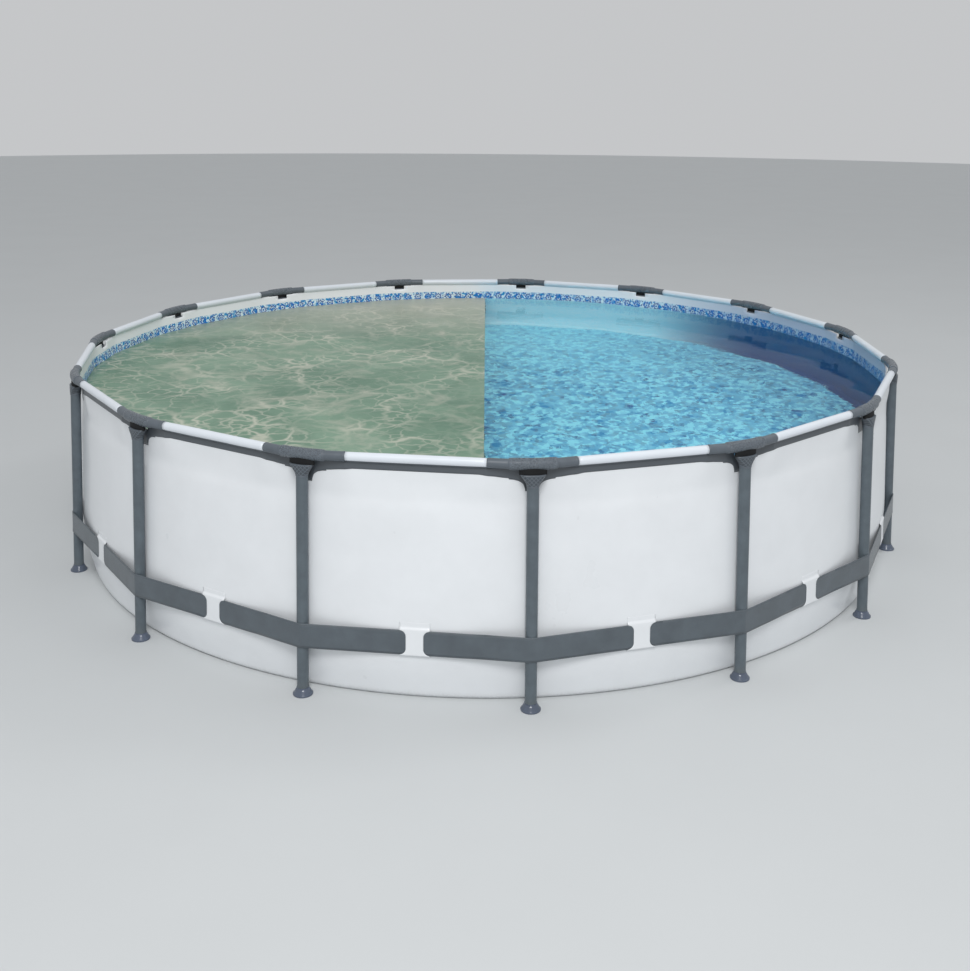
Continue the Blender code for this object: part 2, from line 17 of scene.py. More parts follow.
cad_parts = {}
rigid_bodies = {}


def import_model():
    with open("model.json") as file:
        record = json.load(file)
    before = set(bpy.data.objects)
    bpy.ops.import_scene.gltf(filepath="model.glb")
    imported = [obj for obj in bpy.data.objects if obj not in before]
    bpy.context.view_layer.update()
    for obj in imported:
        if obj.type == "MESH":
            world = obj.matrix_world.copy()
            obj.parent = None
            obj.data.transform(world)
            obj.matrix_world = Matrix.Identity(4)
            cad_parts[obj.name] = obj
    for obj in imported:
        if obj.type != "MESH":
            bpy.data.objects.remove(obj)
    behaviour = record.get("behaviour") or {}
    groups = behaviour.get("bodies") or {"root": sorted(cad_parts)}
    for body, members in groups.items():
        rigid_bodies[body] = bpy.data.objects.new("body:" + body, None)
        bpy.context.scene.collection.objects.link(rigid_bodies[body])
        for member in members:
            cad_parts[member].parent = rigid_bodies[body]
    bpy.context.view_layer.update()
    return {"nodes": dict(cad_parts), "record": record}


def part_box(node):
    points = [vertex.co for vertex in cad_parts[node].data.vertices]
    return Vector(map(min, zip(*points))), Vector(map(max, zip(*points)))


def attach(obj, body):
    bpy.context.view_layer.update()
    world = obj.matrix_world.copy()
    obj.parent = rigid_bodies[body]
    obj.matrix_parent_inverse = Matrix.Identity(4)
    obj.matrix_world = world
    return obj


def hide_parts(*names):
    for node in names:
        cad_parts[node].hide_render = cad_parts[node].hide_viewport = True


bl_info = {
    "name": "Frame Pool Finish",
    "version": (1, 0, 0),
    "blender": (4, 5, 0),
    "location": "View3D > Sidebar > Pool",
    "description": "Detailed pieces and materials for a round above-ground frame pool",
    "category": "Mesh",
}

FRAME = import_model()

# ------------------------------------------------------------------ read from the frame
MAIN_BODY = "pool"
BAYS = sum(name.startswith("leg_") for name in FRAME["nodes"])
BAY_ANGLE = 2.0 * math.pi / BAYS
HALF_BAY = math.pi / BAYS


def node_middle(name):
    low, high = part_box(name)
    return (low + high) / 2.0


RAIL_MIDDLE = node_middle("top_rail_01")
APOTHEM = math.hypot(RAIL_MIDDLE.x, RAIL_MIDDLE.y)
RAIL_HEIGHT = RAIL_MIDDLE.z
BEND_LENGTH = 0.1225  # of a connector's arm, from its middle to its straight end
BEND_RADIUS = BEND_LENGTH / HALF_BAY
RING_RADIUS = (APOTHEM - BEND_RADIUS * (1.0 - math.cos(HALF_BAY))) / math.cos(HALF_BAY)
FOOT_REACH = -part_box("leg_01")[0].y
FLOOR_RADIUS = -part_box("liner_floor")[0].y
BELT_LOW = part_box("belt")[0].z
BELT_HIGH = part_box("belt")[1].z
BELT_HEIGHT = (BELT_LOW + BELT_HIGH) / 2.0

# ------------------------------------------------------------------ shape of the wall
# Where the wall bends: a height, and the gap from the wall to a leg there.
GROUND_BENDS = ((0.0356, 0.0500), (0.1506, 0.0210))  # heights above the ground
BELT_BENDS = ((0.0, 0.0057), (0.2197, 0.0053))  # heights above the middle of the belt
RAIL_BENDS = ((0.2709, 0.0077), (0.1663, 0.0140))  # depths below the rail axes
HEM_HEIGHT = 0.0005
TUCK = 0.026  # from the lowest bend in to where the wall meets the ground
BLEND_DEPTH = 0.215  # below the rail axes, where the straight sides fade into the round
STRAIGHT_DEPTH = 0.081
WALL_TOP_DEPTH = 0.0205  # from the rail axes down to the wall's edge under a sleeve
NOTCH_DEPTH = 0.0215  # the same, behind a connector's bar
NECK_NOTCH = 0.046  # the same, right behind a connector's neck
SLEEVE_GAP = 0.001
BEHIND_LEG = -0.0281  # from a connector's middle to the wall behind it
COLUMNS = 24  # of the wall's mesh, in each bay
NOTCH_COLUMNS = 5  # of them, from a leg to the end of its notch
NECK_COLUMNS = 1  # of them, on each side of a leg, cut lower behind its neck
CLAMP_RADIUS = 0.05  # of the flat wall round a fitting
PORT_HOLE = 0.0262  # radii of the holes in the wall
DRAIN_HOLE = 0.0167

SPLIT_SINK = 0.001  # how far one piece of water or fabric reaches into the next
SEED = 11


# ------------------------------------------------------------------ properties
def length(name, text, default):
    return bpy.props.FloatProperty(
        name=name, description=text, default=default, min=0.0, precision=4, unit="LENGTH"
    )


def linear(channel):
    value = channel / 255.0
    return value / 12.92 if value <= 0.04045 else ((value + 0.055) / 1.055) ** 2.4


def colour(name, text, *screen):
    return bpy.props.FloatVectorProperty(
        name=name,
        description=text,
        default=[linear(channel) for channel in screen],
        min=0.0,
        max=1.0,
        size=3,
        subtype="COLOR",
    )


def angle(name, text, degrees):
    return bpy.props.FloatProperty(
        name=name, description=text, default=math.radians(degrees), subtype="ANGLE", unit="ROTATION"
    )


class PoolSteel(bpy.types.PropertyGroup):
    """Tubes, feet and connectors"""

    leg_diameter: length("Leg diameter", "Outside diameter of a leg tube", 0.050)
    swage_diameter: length("Leg top diameter", "Diameter of the leg's narrowed top", 0.044)
    foot_diameter: length("Foot diameter", "Across a foot cap, on the ground", 0.086)
    foot_height: length("Foot height", "From the ground to where the leg enters the cap", 0.034)
    arm_length: length("Arm length", "From the corner to the end of a connector's arm", 0.1825)
    arm_diameter: length("Arm diameter", "Outside diameter of a connector's arm", 0.0410)
    saddle_diameter: length("Saddle diameter", "The thicker middle of a connector", 0.0490)
    saddle_half: length("Saddle half length", "From the corner to the saddle's shoulder", 0.0960)
    collar_width: length("Collar width", "Across the top of the fan-shaped collar", 0.104)
    collar_depth: length("Collar depth", "Through the top of the fan-shaped collar", 0.056)
    collar_top: length("Collar top", "Below the rail axis", 0.040)
    collar_bottom: length("Collar bottom", "Below the rail axis", 0.092)


class PoolLiner(bpy.types.PropertyGroup):
    """Liner, strips, sleeves, loops and belt"""

    wall_thickness: length("Wall thickness", "Coated fabric of the wall", 0.002)
    sleeve_diameter: length("Sleeve diameter", "Across the tunnel round a rail", 0.0390)
    sleeve_thickness: length("Sleeve thickness", "Fabric of a sleeve", 0.0013)
    sleeve_pinch: length("Sleeve pinch", "How far a sleeve narrows down to its weld", 0.006)
    strip_thickness: length("Strip thickness", "Dark strip below the rails", 0.0009)
    loop_width: length("Loop width", "Half width of a belt loop's welded ends", 0.065)
    loop_waist: length("Loop waist", "Half width of a belt loop over the belt", 0.037)
    loop_thickness: length("Loop thickness", "Fabric of a belt loop", 0.0008)
    belt_thickness: length("Belt thickness", "Flat webbing", 0.002)
    print_top: length("Print top", "Upper edge of the printed band", 0.972)
    print_bottom: length("Print bottom", "Lower edge of the printed band", 0.905)


class PoolWater(bpy.types.PropertyGroup):
    """The two bodies of water"""

    level: length("Water level", "Height of the surface", 0.922)
    ripple: length("Ripple height", "Height of the longest ripple", 0.0016)
    murky_radius: length("Murky radius", "Radius of the cloudy water below its rim", 2.10)
    murky_rim: length("Murky rim", "Depth of the cloudy water's wide rim", 0.05)
    split: angle("Split heading", "Turn of the dividing plane from +Y towards +X", 4.97)


class PoolColours(bpy.types.PropertyGroup):
    """Colours of the finishes"""

    leg: colour("Leg", "Satin coat of the legs", 90, 100, 107)
    connector: colour("Connector", "Moulded connectors", 94, 102, 110)
    # Painted shade: this near-black stands in for the shade under each connector's bar.
    neck_painted_shade: colour("Recess", "Shaded neck under a connector", 5, 7, 10)
    foot: colour("Foot", "Moulded foot caps", 88, 97, 113)
    liner: colour("Liner", "Outside of the wall", 236, 239, 242)
    sleeve: colour("Sleeve", "Rail sleeves", 228, 234, 241)
    skirt: colour("Skirt", "Inside of the wall above the print", 248, 250, 253)
    # Partly the strip's own dark grey, partly painted shadow of the rails and connectors.
    strip: colour("Strip", "Dark strip below the rails", 82, 88, 94)
    belt: colour("Belt", "Woven belt", 88, 97, 104)
    # Painted shade: the colour of the wall below the print on its shaded side.
    deep: colour("Deep blue", "Wall below the print, on the shaded side", 8, 62, 116)
    tile_dark: colour("Dark tile", "Darkest tiles of the print", 0, 62, 142)
    tile_mid: colour("Middle tile", "Middle tiles of the print", 0, 142, 202)
    # Also the colour of the painted light on the floor and of the painted lit side of the wall below the
    # print.
    pale_tile_and_painted_light: colour("Pale tile", "Palest tiles of the print", 158, 240, 255)
    print_blue: colour("Print blue", "Leaves of the printed band", 10, 74, 172)
    print_pale: colour("Print pale", "Ground of the printed band", 226, 246, 253)
    murky: colour("Murky green", "Cloudy water", 122, 155, 131)
    murky_deep: colour("Murky deep", "Darker patches in the cloudy water", 90, 128, 105)
    # Also the colour of the painted light lines on the cloudy water.
    murky_pale_and_painted_light: colour("Murky pale", "Wisps on the cloudy water", 188, 188, 172)
    fitting: colour("Fitting", "Hose fittings and their nuts", 120, 126, 132)
    valve: colour("Valve", "Drain valve", 215, 218, 220)
    rubber: colour("Rubber", "Gaskets and stoppers", 30, 30, 32)
    ground: colour("Ground", "Studio floor", 208, 211, 212)


# ------------------------------------------------------------------ places
def station_turn(index):
    return Matrix.Rotation(-math.pi / 2.0 + index * BAY_ANGLE, 4, "Z")


def bay_turn(index):
    return Matrix.Rotation(-math.pi / 2.0 + index * BAY_ANGLE + HALF_BAY, 4, "Z")


def leg_splay(steel):
    return FOOT_REACH - RING_RADIUS - steel.foot_diameter / 2.0


def leg_axis_radius(height, steel):
    return RING_RADIUS + leg_splay(steel) * (1.0 - height / RAIL_HEIGHT)


def along_leg(steel, above_ground):
    """Shear and shift that bring a piece modelled round the Z axis onto a splayed leg."""
    slope = leg_splay(steel) / RAIL_HEIGHT
    shear = Matrix.Identity(4)
    shear[0][2] = -slope
    shear[0][3] = leg_axis_radius(above_ground, steel)
    shear[2][3] = above_ground
    return shear


def smooth_step(value, low, high):
    share = min(max((value - low) / (high - low), 0.0), 1.0)
    return share * share * (3.0 - 2.0 * share)


def sleeve_half_length(steel):
    straight_end = steel.arm_length - BEND_LENGTH
    return (APOTHEM - BEND_RADIUS) * math.tan(HALF_BAY) - straight_end - SLEEVE_GAP


def sleeve_angle(steel):
    """Angle from a leg to the end of the sleeve beside it."""
    return HALF_BAY - math.atan2(sleeve_half_length(steel), APOTHEM)


def from_leg(bearing):
    """Signed angle from the nearest leg to a bearing round the pool."""
    turned = bearing + math.pi / 2.0 + HALF_BAY
    return turned % BAY_ANGLE - HALF_BAY


def straight_radius(bearing, steel):
    """Outline along the rails, cut straight across behind each connector."""
    off_leg = abs(from_leg(bearing))
    end = sleeve_angle(steel)
    if off_leg >= end:
        return APOTHEM / math.cos(HALF_BAY - off_leg)
    at_end = APOTHEM / math.cos(HALF_BAY - end)
    return at_end + (BEHIND_LEG + RING_RADIUS - at_end) * (1.0 - off_leg / end)


def wall_bends(steel):
    """(radius, height) of the outer face where the wall bends, from the hem up."""
    bends = list(GROUND_BENDS)
    bends += [(BELT_HEIGHT + rise, gap) for rise, gap in BELT_BENDS]
    bends += [(RAIL_HEIGHT - drop, gap) for drop, gap in RAIL_BENDS]
    leg_radius = steel.leg_diameter / 2.0
    return [(leg_axis_radius(height, steel) - leg_radius - gap, height) for height, gap in bends]


def curve_through(points, steps):
    """Catmull-Rom curve through 2D points, with steps pieces between each pair."""
    spots = [Vector(point) for point in points]
    spots = [2.0 * spots[0] - spots[1], *spots, 2.0 * spots[-1] - spots[-2]]
    curve = []
    for before, start, end, after in zip(spots, spots[1:], spots[2:], spots[3:]):
        for step in range(steps):
            t = step / steps
            pull = (end - before) * t + (2.0 * before - 5.0 * start + 4.0 * end - after) * t * t
            swing = (3.0 * start - before - 3.0 * end + after) * t**3
            curve.append(start + 0.5 * (pull + swing))
    return curve + [spots[-2]]


def wall_profile(steel):
    """(radius, height) down the outer face, before the straight sides are blended in."""
    bends = wall_bends(steel)
    low_radius = bends[0][0]
    foot = [
        (FLOOR_RADIUS, HEM_HEIGHT),
        (low_radius - TUCK, HEM_HEIGHT),
        (low_radius - 0.35 * TUCK, bends[0][1] * 0.3),
    ]
    curve = curve_through(foot + bends, 6)
    high_radius = bends[-1][0]
    start = bends[-1][1]
    notch = RAIL_HEIGHT - NOTCH_DEPTH
    neck = RAIL_HEIGHT - NECK_NOTCH
    heights = [start + (neck - start) * step / 6 for step in range(1, 7)]
    heights += [neck + (notch - neck) * step / 3 for step in range(1, 4)]
    heights.append(RAIL_HEIGHT - WALL_TOP_DEPTH)
    return curve + [Vector((high_radius, height)) for height in heights]


def profile_radius(profile, height):
    for low, high in zip(profile, profile[1:]):
        if low.y <= height <= high.y and high.y > low.y:
            return low.x + (high.x - low.x) * (height - low.y) / (high.y - low.y)
    return profile[-1].x


def notch_depth(off_leg, steel):
    """How far below a rail's axis the wall ends, at a turn from the nearest leg."""
    behind_neck = off_leg < sleeve_angle(steel) * (NECK_COLUMNS + 0.05) / NOTCH_COLUMNS
    return NECK_NOTCH if behind_neck else NOTCH_DEPTH


def wall_radius(bearing, height, round_radius, steel):
    """Outer radius of the wall: round below, and along the rails at the top."""
    straight = smooth_step(height, RAIL_HEIGHT - BLEND_DEPTH, RAIL_HEIGHT - STRAIGHT_DEPTH)
    return round_radius + (straight_radius(bearing, steel) - round_radius) * straight


def soft_swell(bearing, height):
    """Slow swelling of the fabric, which dies out at the hem and under the rails."""
    spot = Vector((math.cos(bearing) * 5.0, math.sin(bearing) * 5.0, height * 3.0))
    fade = smooth_step(height, 0.02, 0.2) * (1.0 - smooth_step(height, 0.8, 0.93))
    return 0.0016 * noise.noise(spot, noise_basis="PERLIN_ORIGINAL") * fade


def tension_folds(bearing, height):
    """Short upright folds in the skirt, deepest beside each connector."""
    off_leg = abs(from_leg(bearing))
    below = RAIL_HEIGHT - height
    strength = math.exp(-(((off_leg - 0.085) / 0.035) ** 2)) * math.exp(-(((below - 0.09) / 0.05) ** 2))
    return 0.0014 * strength * math.sin(off_leg * 260.0)


def skin_radius(bearing, height, round_radius, steel):
    """Outer radius of the wall with its swelling and folds."""
    smooth = wall_radius(bearing, height, round_radius, steel)
    return smooth + soft_swell(bearing, height) + tension_folds(bearing, height)


def facet_radius(bearing, height, profile, steel):
    """Outer radius of the wall's own facets, between two rows of its profile."""
    for low, high in zip(profile, profile[1:]):
        if low.y <= height <= high.y and high.y > low.y:
            share = (height - low.y) / (high.y - low.y)
            below = skin_radius(bearing, low.y, low.x, steel)
            return below + (skin_radius(bearing, high.y, high.x, steel) - below) * share
    return skin_radius(bearing, height, profile[-1].x, steel)


def polar(bearing, radius, height):
    return Vector((radius * math.cos(bearing), radius * math.sin(bearing), height))


# ------------------------------------------------------------------ mesh helpers
def rounded_outline(corners, steps=4):
    """Points of an outline of (across, along, fillet) corners, with the fillets drawn in."""
    points = []
    for index, (across, along, fillet) in enumerate(corners):
        here = Vector((across, along))
        if fillet == 0.0 or index in (0, len(corners) - 1):
            points.append(here)
            continue
        back = Vector(corners[index - 1][:2]) - here
        ahead = Vector(corners[index + 1][:2]) - here
        cut = fillet / math.tan(back.angle(ahead) / 2.0)
        cut = min(cut, 0.48 * back.length, 0.48 * ahead.length)
        start = here + back.normalized() * cut
        end = here + ahead.normalized() * cut
        for step in range(steps + 1):
            t = step / steps
            points.append(start.lerp(here, t).lerp(here.lerp(end, t), t))
    return points


def turn_outline(points, segments, closed=False):
    """A bmesh made by spinning an outline of (radius, height) points fully round Z."""
    bm = bmesh.new()
    verts = [bm.verts.new((radius, 0.0, height)) for radius, height in points]
    pairs = list(zip(verts, verts[1:]))
    if closed:
        pairs.append((verts[-1], verts[0]))
    edges = [bm.edges.new(pair) for pair in pairs]
    bmesh.ops.spin(
        bm,
        geom=verts + edges,
        cent=(0.0, 0.0, 0.0),
        axis=(0.0, 0.0, 1.0),
        angle=2.0 * math.pi,
        steps=segments,
        use_merge=True,
    )
    bmesh.ops.remove_doubles(bm, verts=bm.verts, dist=0.00001)
    bmesh.ops.dissolve_degenerate(bm, edges=bm.edges, dist=0.000001)
    bmesh.ops.recalc_face_normals(bm, faces=bm.faces)
    return bm


def wrap_uv(bm, radius):
    """UVs in metres: round the Z axis, and up it."""
    layer = bm.loops.layers.uv.verify()
    for face in bm.faces:
        middle = face.calc_center_median()
        facing = math.atan2(middle.y, middle.x)
        for loop in face.loops:
            spot = loop.vert.co
            turn = math.atan2(spot.y, spot.x) - facing if spot.xy.length > 0.00001 else 0.0
            turn = (turn + math.pi) % (2.0 * math.pi) - math.pi
            loop[layer].uv = ((facing + turn) * radius, spot.z)


def plane_uv(bm, rule):
    """UVs in metres from rule(point)."""
    layer = bm.loops.layers.uv.verify()
    for face in bm.faces:
        for loop in face.loops:
            loop[layer].uv = rule(loop.vert.co)


def baked(bm, name, finishes, sharp=38.0):
    """The bmesh as shaded mesh data with its materials; the bmesh is freed."""
    mesh = bpy.data.meshes.new(name)
    bm.to_mesh(mesh)
    bm.free()
    for finish in finishes:
        mesh.materials.append(finish)
    mesh.shade_smooth()
    mesh.set_sharp_from_angle(angle=math.radians(sharp))
    return mesh


def add_piece(name, mesh, body=MAIN_BODY, replaces=()):
    piece = bpy.data.objects.new(name, mesh)
    bpy.context.scene.collection.objects.link(piece)
    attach(piece, body)
    if replaces:
        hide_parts(*replaces)
    return piece


def add_ring(name, mesh, place, turn, replaced=None):
    """One copy of a mesh at each leg or bay, with its place in the mesh."""
    pieces = []
    for index in range(BAYS):
        label = f"{index + 1:02d}"
        copy = mesh.copy()
        copy.name = f"{name}_{label}"
        copy.transform(turn(index) @ place)
        nodes = (f"{replaced}_{label}",) if replaced else ()
        pieces.append(add_piece(f"{name}_{label}", copy, replaces=nodes))
    bpy.data.meshes.remove(mesh)
    return pieces


def thicken(piece, thickness, offset, inner_material=0):
    shell = piece.modifiers.new("Fabric thickness", "SOLIDIFY")
    shell.thickness = thickness
    shell.offset = offset
    shell.use_even_offset = True
    shell.material_offset = inner_material
    return shell


# ------------------------------------------------------------------ node helpers
class Wiring:
    """Adds nodes to one tree and links them as it goes."""

    def __init__(self, tree):
        self.tree = tree

    def add(self, kind, inputs=None, **settings):
        made = self.tree.nodes.new(kind)
        for key, value in settings.items():
            setattr(made, key, value)
        for key, value in (inputs or {}).items():
            self.feed(made.inputs[key], value)
        return made

    def feed(self, socket, value):
        if isinstance(value, bpy.types.NodeSocket):
            self.tree.links.new(value, socket)
        elif isinstance(value, (int, float)) or len(socket.default_value) == len(value):
            socket.default_value = value
        else:
            socket.default_value = (*value, 1.0)

    def math(self, operation, first, second=0.0, third=0.0, clamp=False):
        values = {0: first, 1: second, 2: third}
        return self.add("ShaderNodeMath", values, operation=operation, use_clamp=clamp).outputs[0]

    def vector(self, operation, first, second=(0.0, 0.0, 0.0), scale=1.0):
        values = {0: first, 1: second}
        if operation == "SCALE":
            values["Scale"] = scale
        return self.add("ShaderNodeVectorMath", values, operation=operation).outputs["Vector"]

    def times(self, first, second, clamp=False):
        return self.math("MULTIPLY", first, second, clamp=clamp)

    def scaled(self, value, factor, offset):
        return self.math("MULTIPLY_ADD", value, factor, offset)

    def mix(self, factor, first, second):
        values = {0: factor, 6: first, 7: second}
        return self.add("ShaderNodeMix", values, data_type="RGBA").outputs[2]

    def noise(self, vector, scale, detail=3.0, roughness=0.55, distortion=0.0):
        values = {
            "Vector": vector,
            "Scale": scale,
            "Detail": detail,
            "Roughness": roughness,
            "Distortion": distortion,
        }
        return self.add("ShaderNodeTexNoise", values).outputs["Fac"]

    def noise_colour(self, vector, scale, detail=2.0):
        values = {"Vector": vector, "Scale": scale, "Detail": detail}
        return self.add("ShaderNodeTexNoise", values).outputs["Color"]

    def cells(self, vector, scale, feature="F1", output="Distance", randomness=1.0):
        values = {"Vector": vector, "Scale": scale, "Randomness": randomness}
        return self.add("ShaderNodeTexVoronoi", values, feature=feature).outputs[output]

    def remap(self, value, low, high, to_low=0.0, to_high=1.0, smooth=False):
        values = {0: value, 1: low, 2: high, 3: to_low, 4: to_high}
        kind = "SMOOTHSTEP" if smooth else "LINEAR"
        return self.add("ShaderNodeMapRange", values, interpolation_type=kind).outputs[0]

    def stretch(self, vector, scale, shift=(0.0, 0.0, 0.0), turn=(0.0, 0.0, 0.0)):
        values = {"Vector": vector, "Scale": scale, "Location": shift, "Rotation": turn}
        return self.add("ShaderNodeMapping", values).outputs["Vector"]

    def parts(self, vector):
        made = self.add("ShaderNodeSeparateXYZ", {0: vector})
        return made.outputs[0], made.outputs[1], made.outputs[2]

    def bump(self, height, strength, distance, normal=None):
        values = {"Height": height, "Strength": strength, "Distance": distance}
        if normal is not None:
            values["Normal"] = normal
        return self.add("ShaderNodeBump", values).outputs["Normal"]

    def objects(self):
        return self.add("ShaderNodeTexCoord").outputs["Object"]

    def surface(self):
        return self.add("ShaderNodeTexCoord").outputs["UV"]

    def group(self, name, **inputs):
        made = self.add("ShaderNodeGroup", node_tree=bpy.data.node_groups[name])
        for key, value in inputs.items():
            self.feed(made.inputs[key.replace("_", " ").capitalize()], value)
        return made.outputs


def new_group(name, inputs, outputs):
    """An empty effect group, its wiring, its input sockets and its output node."""
    tree = bpy.data.node_groups.new(name, "ShaderNodeTree")
    kinds = {"value": "NodeSocketFloat", "vector": "NodeSocketVector", "colour": "NodeSocketColor"}
    for label, kind, default in inputs:
        socket = tree.interface.new_socket(name=label, in_out="INPUT", socket_type=kinds[kind])
        if default is not None:
            socket.default_value = default
    for label, kind in outputs:
        tree.interface.new_socket(name=label, in_out="OUTPUT", socket_type=kinds[kind])
    start = tree.nodes.new("NodeGroupInput")
    end = tree.nodes.new("NodeGroupOutput")
    return Wiring(tree), start.outputs, end


def close_group(wires, end, **values):
    for key, value in values.items():
        wires.feed(end.inputs[key.capitalize()], value)


# ------------------------------------------------------------------ shared effects
def make_grain_group():
    """Fine moulded or sprayed grain, with slow variation in tone."""
    wires, start, end = new_group(
        "fine_grain",
        [("Vector", "vector", None), ("Scale", "value", 400.0)],
        [("Height", "value"), ("Tone", "value")],
    )
    fine = wires.noise(start["Vector"], start["Scale"], 3.0, 0.6)
    broad = wires.noise(start["Vector"], wires.times(start["Scale"], 0.018), 3.0, 0.6)
    close_group(wires, end, height=fine, tone=broad)


def make_scuff_group():
    """Long thin scratches that come and go."""
    wires, start, end = new_group(
        "scuffs",
        [("Vector", "vector", None), ("Scale", "value", 30.0), ("Amount", "value", 0.5)],
        [("Mask", "value")],
    )
    bent = wires.vector("ADD", start["Vector"], wires.noise_colour(start["Vector"], 9.0))
    drawn = wires.stretch(bent, (1.0, 0.06, 0.06), turn=(0.3, 0.5, 0.9))
    lines = wires.noise(drawn, wires.times(start["Scale"], 6.0), 4.0, 0.7)
    thin = wires.remap(lines, 0.66, 0.74)
    patches = wires.remap(wires.noise(start["Vector"], start["Scale"], 2.0), 0.5, 0.7)
    mask = wires.times(wires.times(thin, patches), start["Amount"], clamp=True)
    close_group(wires, end, mask=mask)


def make_splash_group():
    """Dust and dried splashes that thin out upwards from the ground."""
    wires, start, end = new_group(
        "ground_splash",
        [("Vector", "vector", None), ("Reach", "value", 0.12)],
        [("Mask", "value")],
    )
    height = wires.parts(start["Vector"])[2]
    ragged = wires.scaled(wires.noise(start["Vector"], 16.0, 4.0), 0.6, 0.55)
    edge = wires.times(start["Reach"], ragged)
    fade = wires.remap(wires.math("DIVIDE", height, edge), 0.0, 1.0, 1.0, 0.0, smooth=True)
    speckle = wires.remap(wires.noise(start["Vector"], 90.0, 3.0), 0.35, 0.65)
    mask = wires.times(fade, wires.scaled(speckle, 0.6, 0.4), clamp=True)
    close_group(wires, end, mask=mask)


def make_weave_group():
    """Plain weave in UV metres: threads over and under, one way and the other."""
    wires, start, end = new_group(
        "plain_weave",
        [("Vector", "vector", None), ("Pitch", "value", 0.002)],
        [("Height", "value"), ("Gap", "value")],
    )
    across, along, _ = wires.parts(start["Vector"])
    turns = wires.math("DIVIDE", math.pi, start["Pitch"])
    warp = wires.math("SINE", wires.times(across, turns))
    weft = wires.math("SINE", wires.times(along, turns))
    over = wires.times(warp, weft)
    ridges = wires.math("ADD", wires.math("ABSOLUTE", warp), wires.math("ABSOLUTE", weft))
    height = wires.scaled(over, 0.25, wires.times(ridges, 0.5))
    close_group(wires, end, height=height, gap=wires.remap(ridges, 0.9, 0.2))


def make_web_group():
    """Bright net of lines, as light makes on ruffled water."""
    wires, start, end = new_group(
        "light_web",
        [("Vector", "vector", None), ("Scale", "value", 4.0), ("Width", "value", 0.12)],
        [("Mask", "value")],
    )
    scaled = wires.vector("SCALE", start["Vector"], scale=start["Scale"])
    swirl = wires.vector("SCALE", wires.noise_colour(scaled, 1.1, 3.0), scale=0.9)
    bent = wires.vector("ADD", scaled, swirl)
    near = wires.cells(bent, 1.0, "F1")
    far = wires.cells(bent, 1.0, "F2")
    gap = wires.math("SUBTRACT", far, near)
    lines = wires.remap(gap, wires.times(start["Width"], 3.0), 0.0, 0.0, 1.0, smooth=True)
    close_group(wires, end, mask=lines)


def make_tile_group():
    """Random small mosaic tiles in three blues, grouped in lighter and darker drifts."""
    wires, start, end = new_group(
        "mosaic_tiles",
        [
            ("Vector", "vector", None),
            ("Scale", "value", 45.0),
            ("Dark", "colour", None),
            ("Middle", "colour", None),
            ("Pale", "colour", None),
        ],
        [("Colour", "colour"), ("Joint", "value")],
    )
    shuffled = wires.cells(start["Vector"], start["Scale"], output="Color", randomness=0.8)
    pick, second, _ = wires.parts(shuffled)
    drift = wires.noise(start["Vector"], 3.2, 3.0, 0.6)
    tone = wires.math("ADD", wires.times(pick, 0.85), wires.times(drift, 0.5))
    low = wires.mix(wires.remap(tone, 0.28, 0.52), start["Dark"], start["Middle"])
    tiles = wires.mix(wires.remap(tone, 0.72, 0.9), low, start["Pale"])
    softened = wires.mix(wires.times(second, 0.15), tiles, start["Middle"])
    edges = wires.cells(start["Vector"], start["Scale"], "DISTANCE_TO_EDGE", randomness=0.8)
    close_group(wires, end, colour=softened, joint=wires.remap(edges, 0.08, 0.02))


def make_flower_group():
    """Band of ring-shaped flowers and leaves, in UV metres, over a pale ground."""
    wires, start, end = new_group(
        "flower_band",
        [("Vector", "vector", None), ("Pitch", "value", 0.085), ("Middle", "value", 0.95)],
        [("Mask", "value"), ("Tone", "value")],
    )
    across, up, _ = wires.parts(start["Vector"])
    cell = wires.math("DIVIDE", across, start["Pitch"])
    x = wires.math("SUBTRACT", wires.math("FRACT", cell), 0.5)
    y = wires.math("DIVIDE", wires.math("SUBTRACT", up, start["Middle"]), start["Pitch"])
    squares = wires.math("ADD", wires.math("POWER", x, 2.0), wires.math("POWER", y, 2.0))
    reach = wires.math("SQRT", squares)
    around = wires.math("ARCTAN2", y, x)
    petals = wires.math("COSINE", wires.times(around, 7.0))
    rim = wires.scaled(petals, 0.05, 0.24)
    ring = wires.math("ABSOLUTE", wires.math("SUBTRACT", reach, rim))
    flower = wires.remap(ring, 0.075, 0.035)
    heart = wires.remap(reach, 0.09, 0.06)
    leaf_cells = wires.cells(wires.stretch(start["Vector"], (1.0, 0.75, 1.0)), 85.0)
    leaves = wires.remap(leaf_cells, 0.36, 0.24)
    leaves = wires.times(leaves, wires.remap(reach, 0.27, 0.36))
    mask = wires.math("MAXIMUM", flower, wires.math("MAXIMUM", heart, leaves))
    tone = wires.cells(start["Vector"], 70.0, output="Color")
    close_group(wires, end, mask=mask, tone=wires.parts(tone)[0])


def make_effects():
    make_grain_group()
    make_scuff_group()
    make_splash_group()
    make_weave_group()
    make_web_group()
    make_tile_group()
    make_flower_group()


# ------------------------------------------------------------------ materials
def principled(name, **sockets):
    """A new material, its wiring and its shader, with constants set on the shader."""
    made = bpy.data.materials.new(name)
    made.use_nodes = True
    shader = made.node_tree.nodes["Principled BSDF"]
    for key, value in sockets.items():
        socket = shader.inputs[key.replace("_", " ").title().replace("Ior", "IOR")]
        socket.default_value = (*value, 1.0) if hasattr(value, "__len__") else value
    return made, Wiring(made.node_tree), shader


def shade(tint, factor):
    return [min(channel * factor, 1.0) for channel in tint]


def mottled(wires, tone, tint, low, high):
    """A tint that drifts between two shades of itself."""
    return wires.mix(wires.remap(tone, 0.3, 0.7), shade(tint, low), shade(tint, high))


def dress(wires, shader, base, rough=None, normal=None):
    """Feeds a shader its colour and, where given, its roughness and normal."""
    for name, value in (("Base Color", base), ("Roughness", rough), ("Normal", normal)):
        if value is not None:
            wires.feed(shader.inputs[name], value)


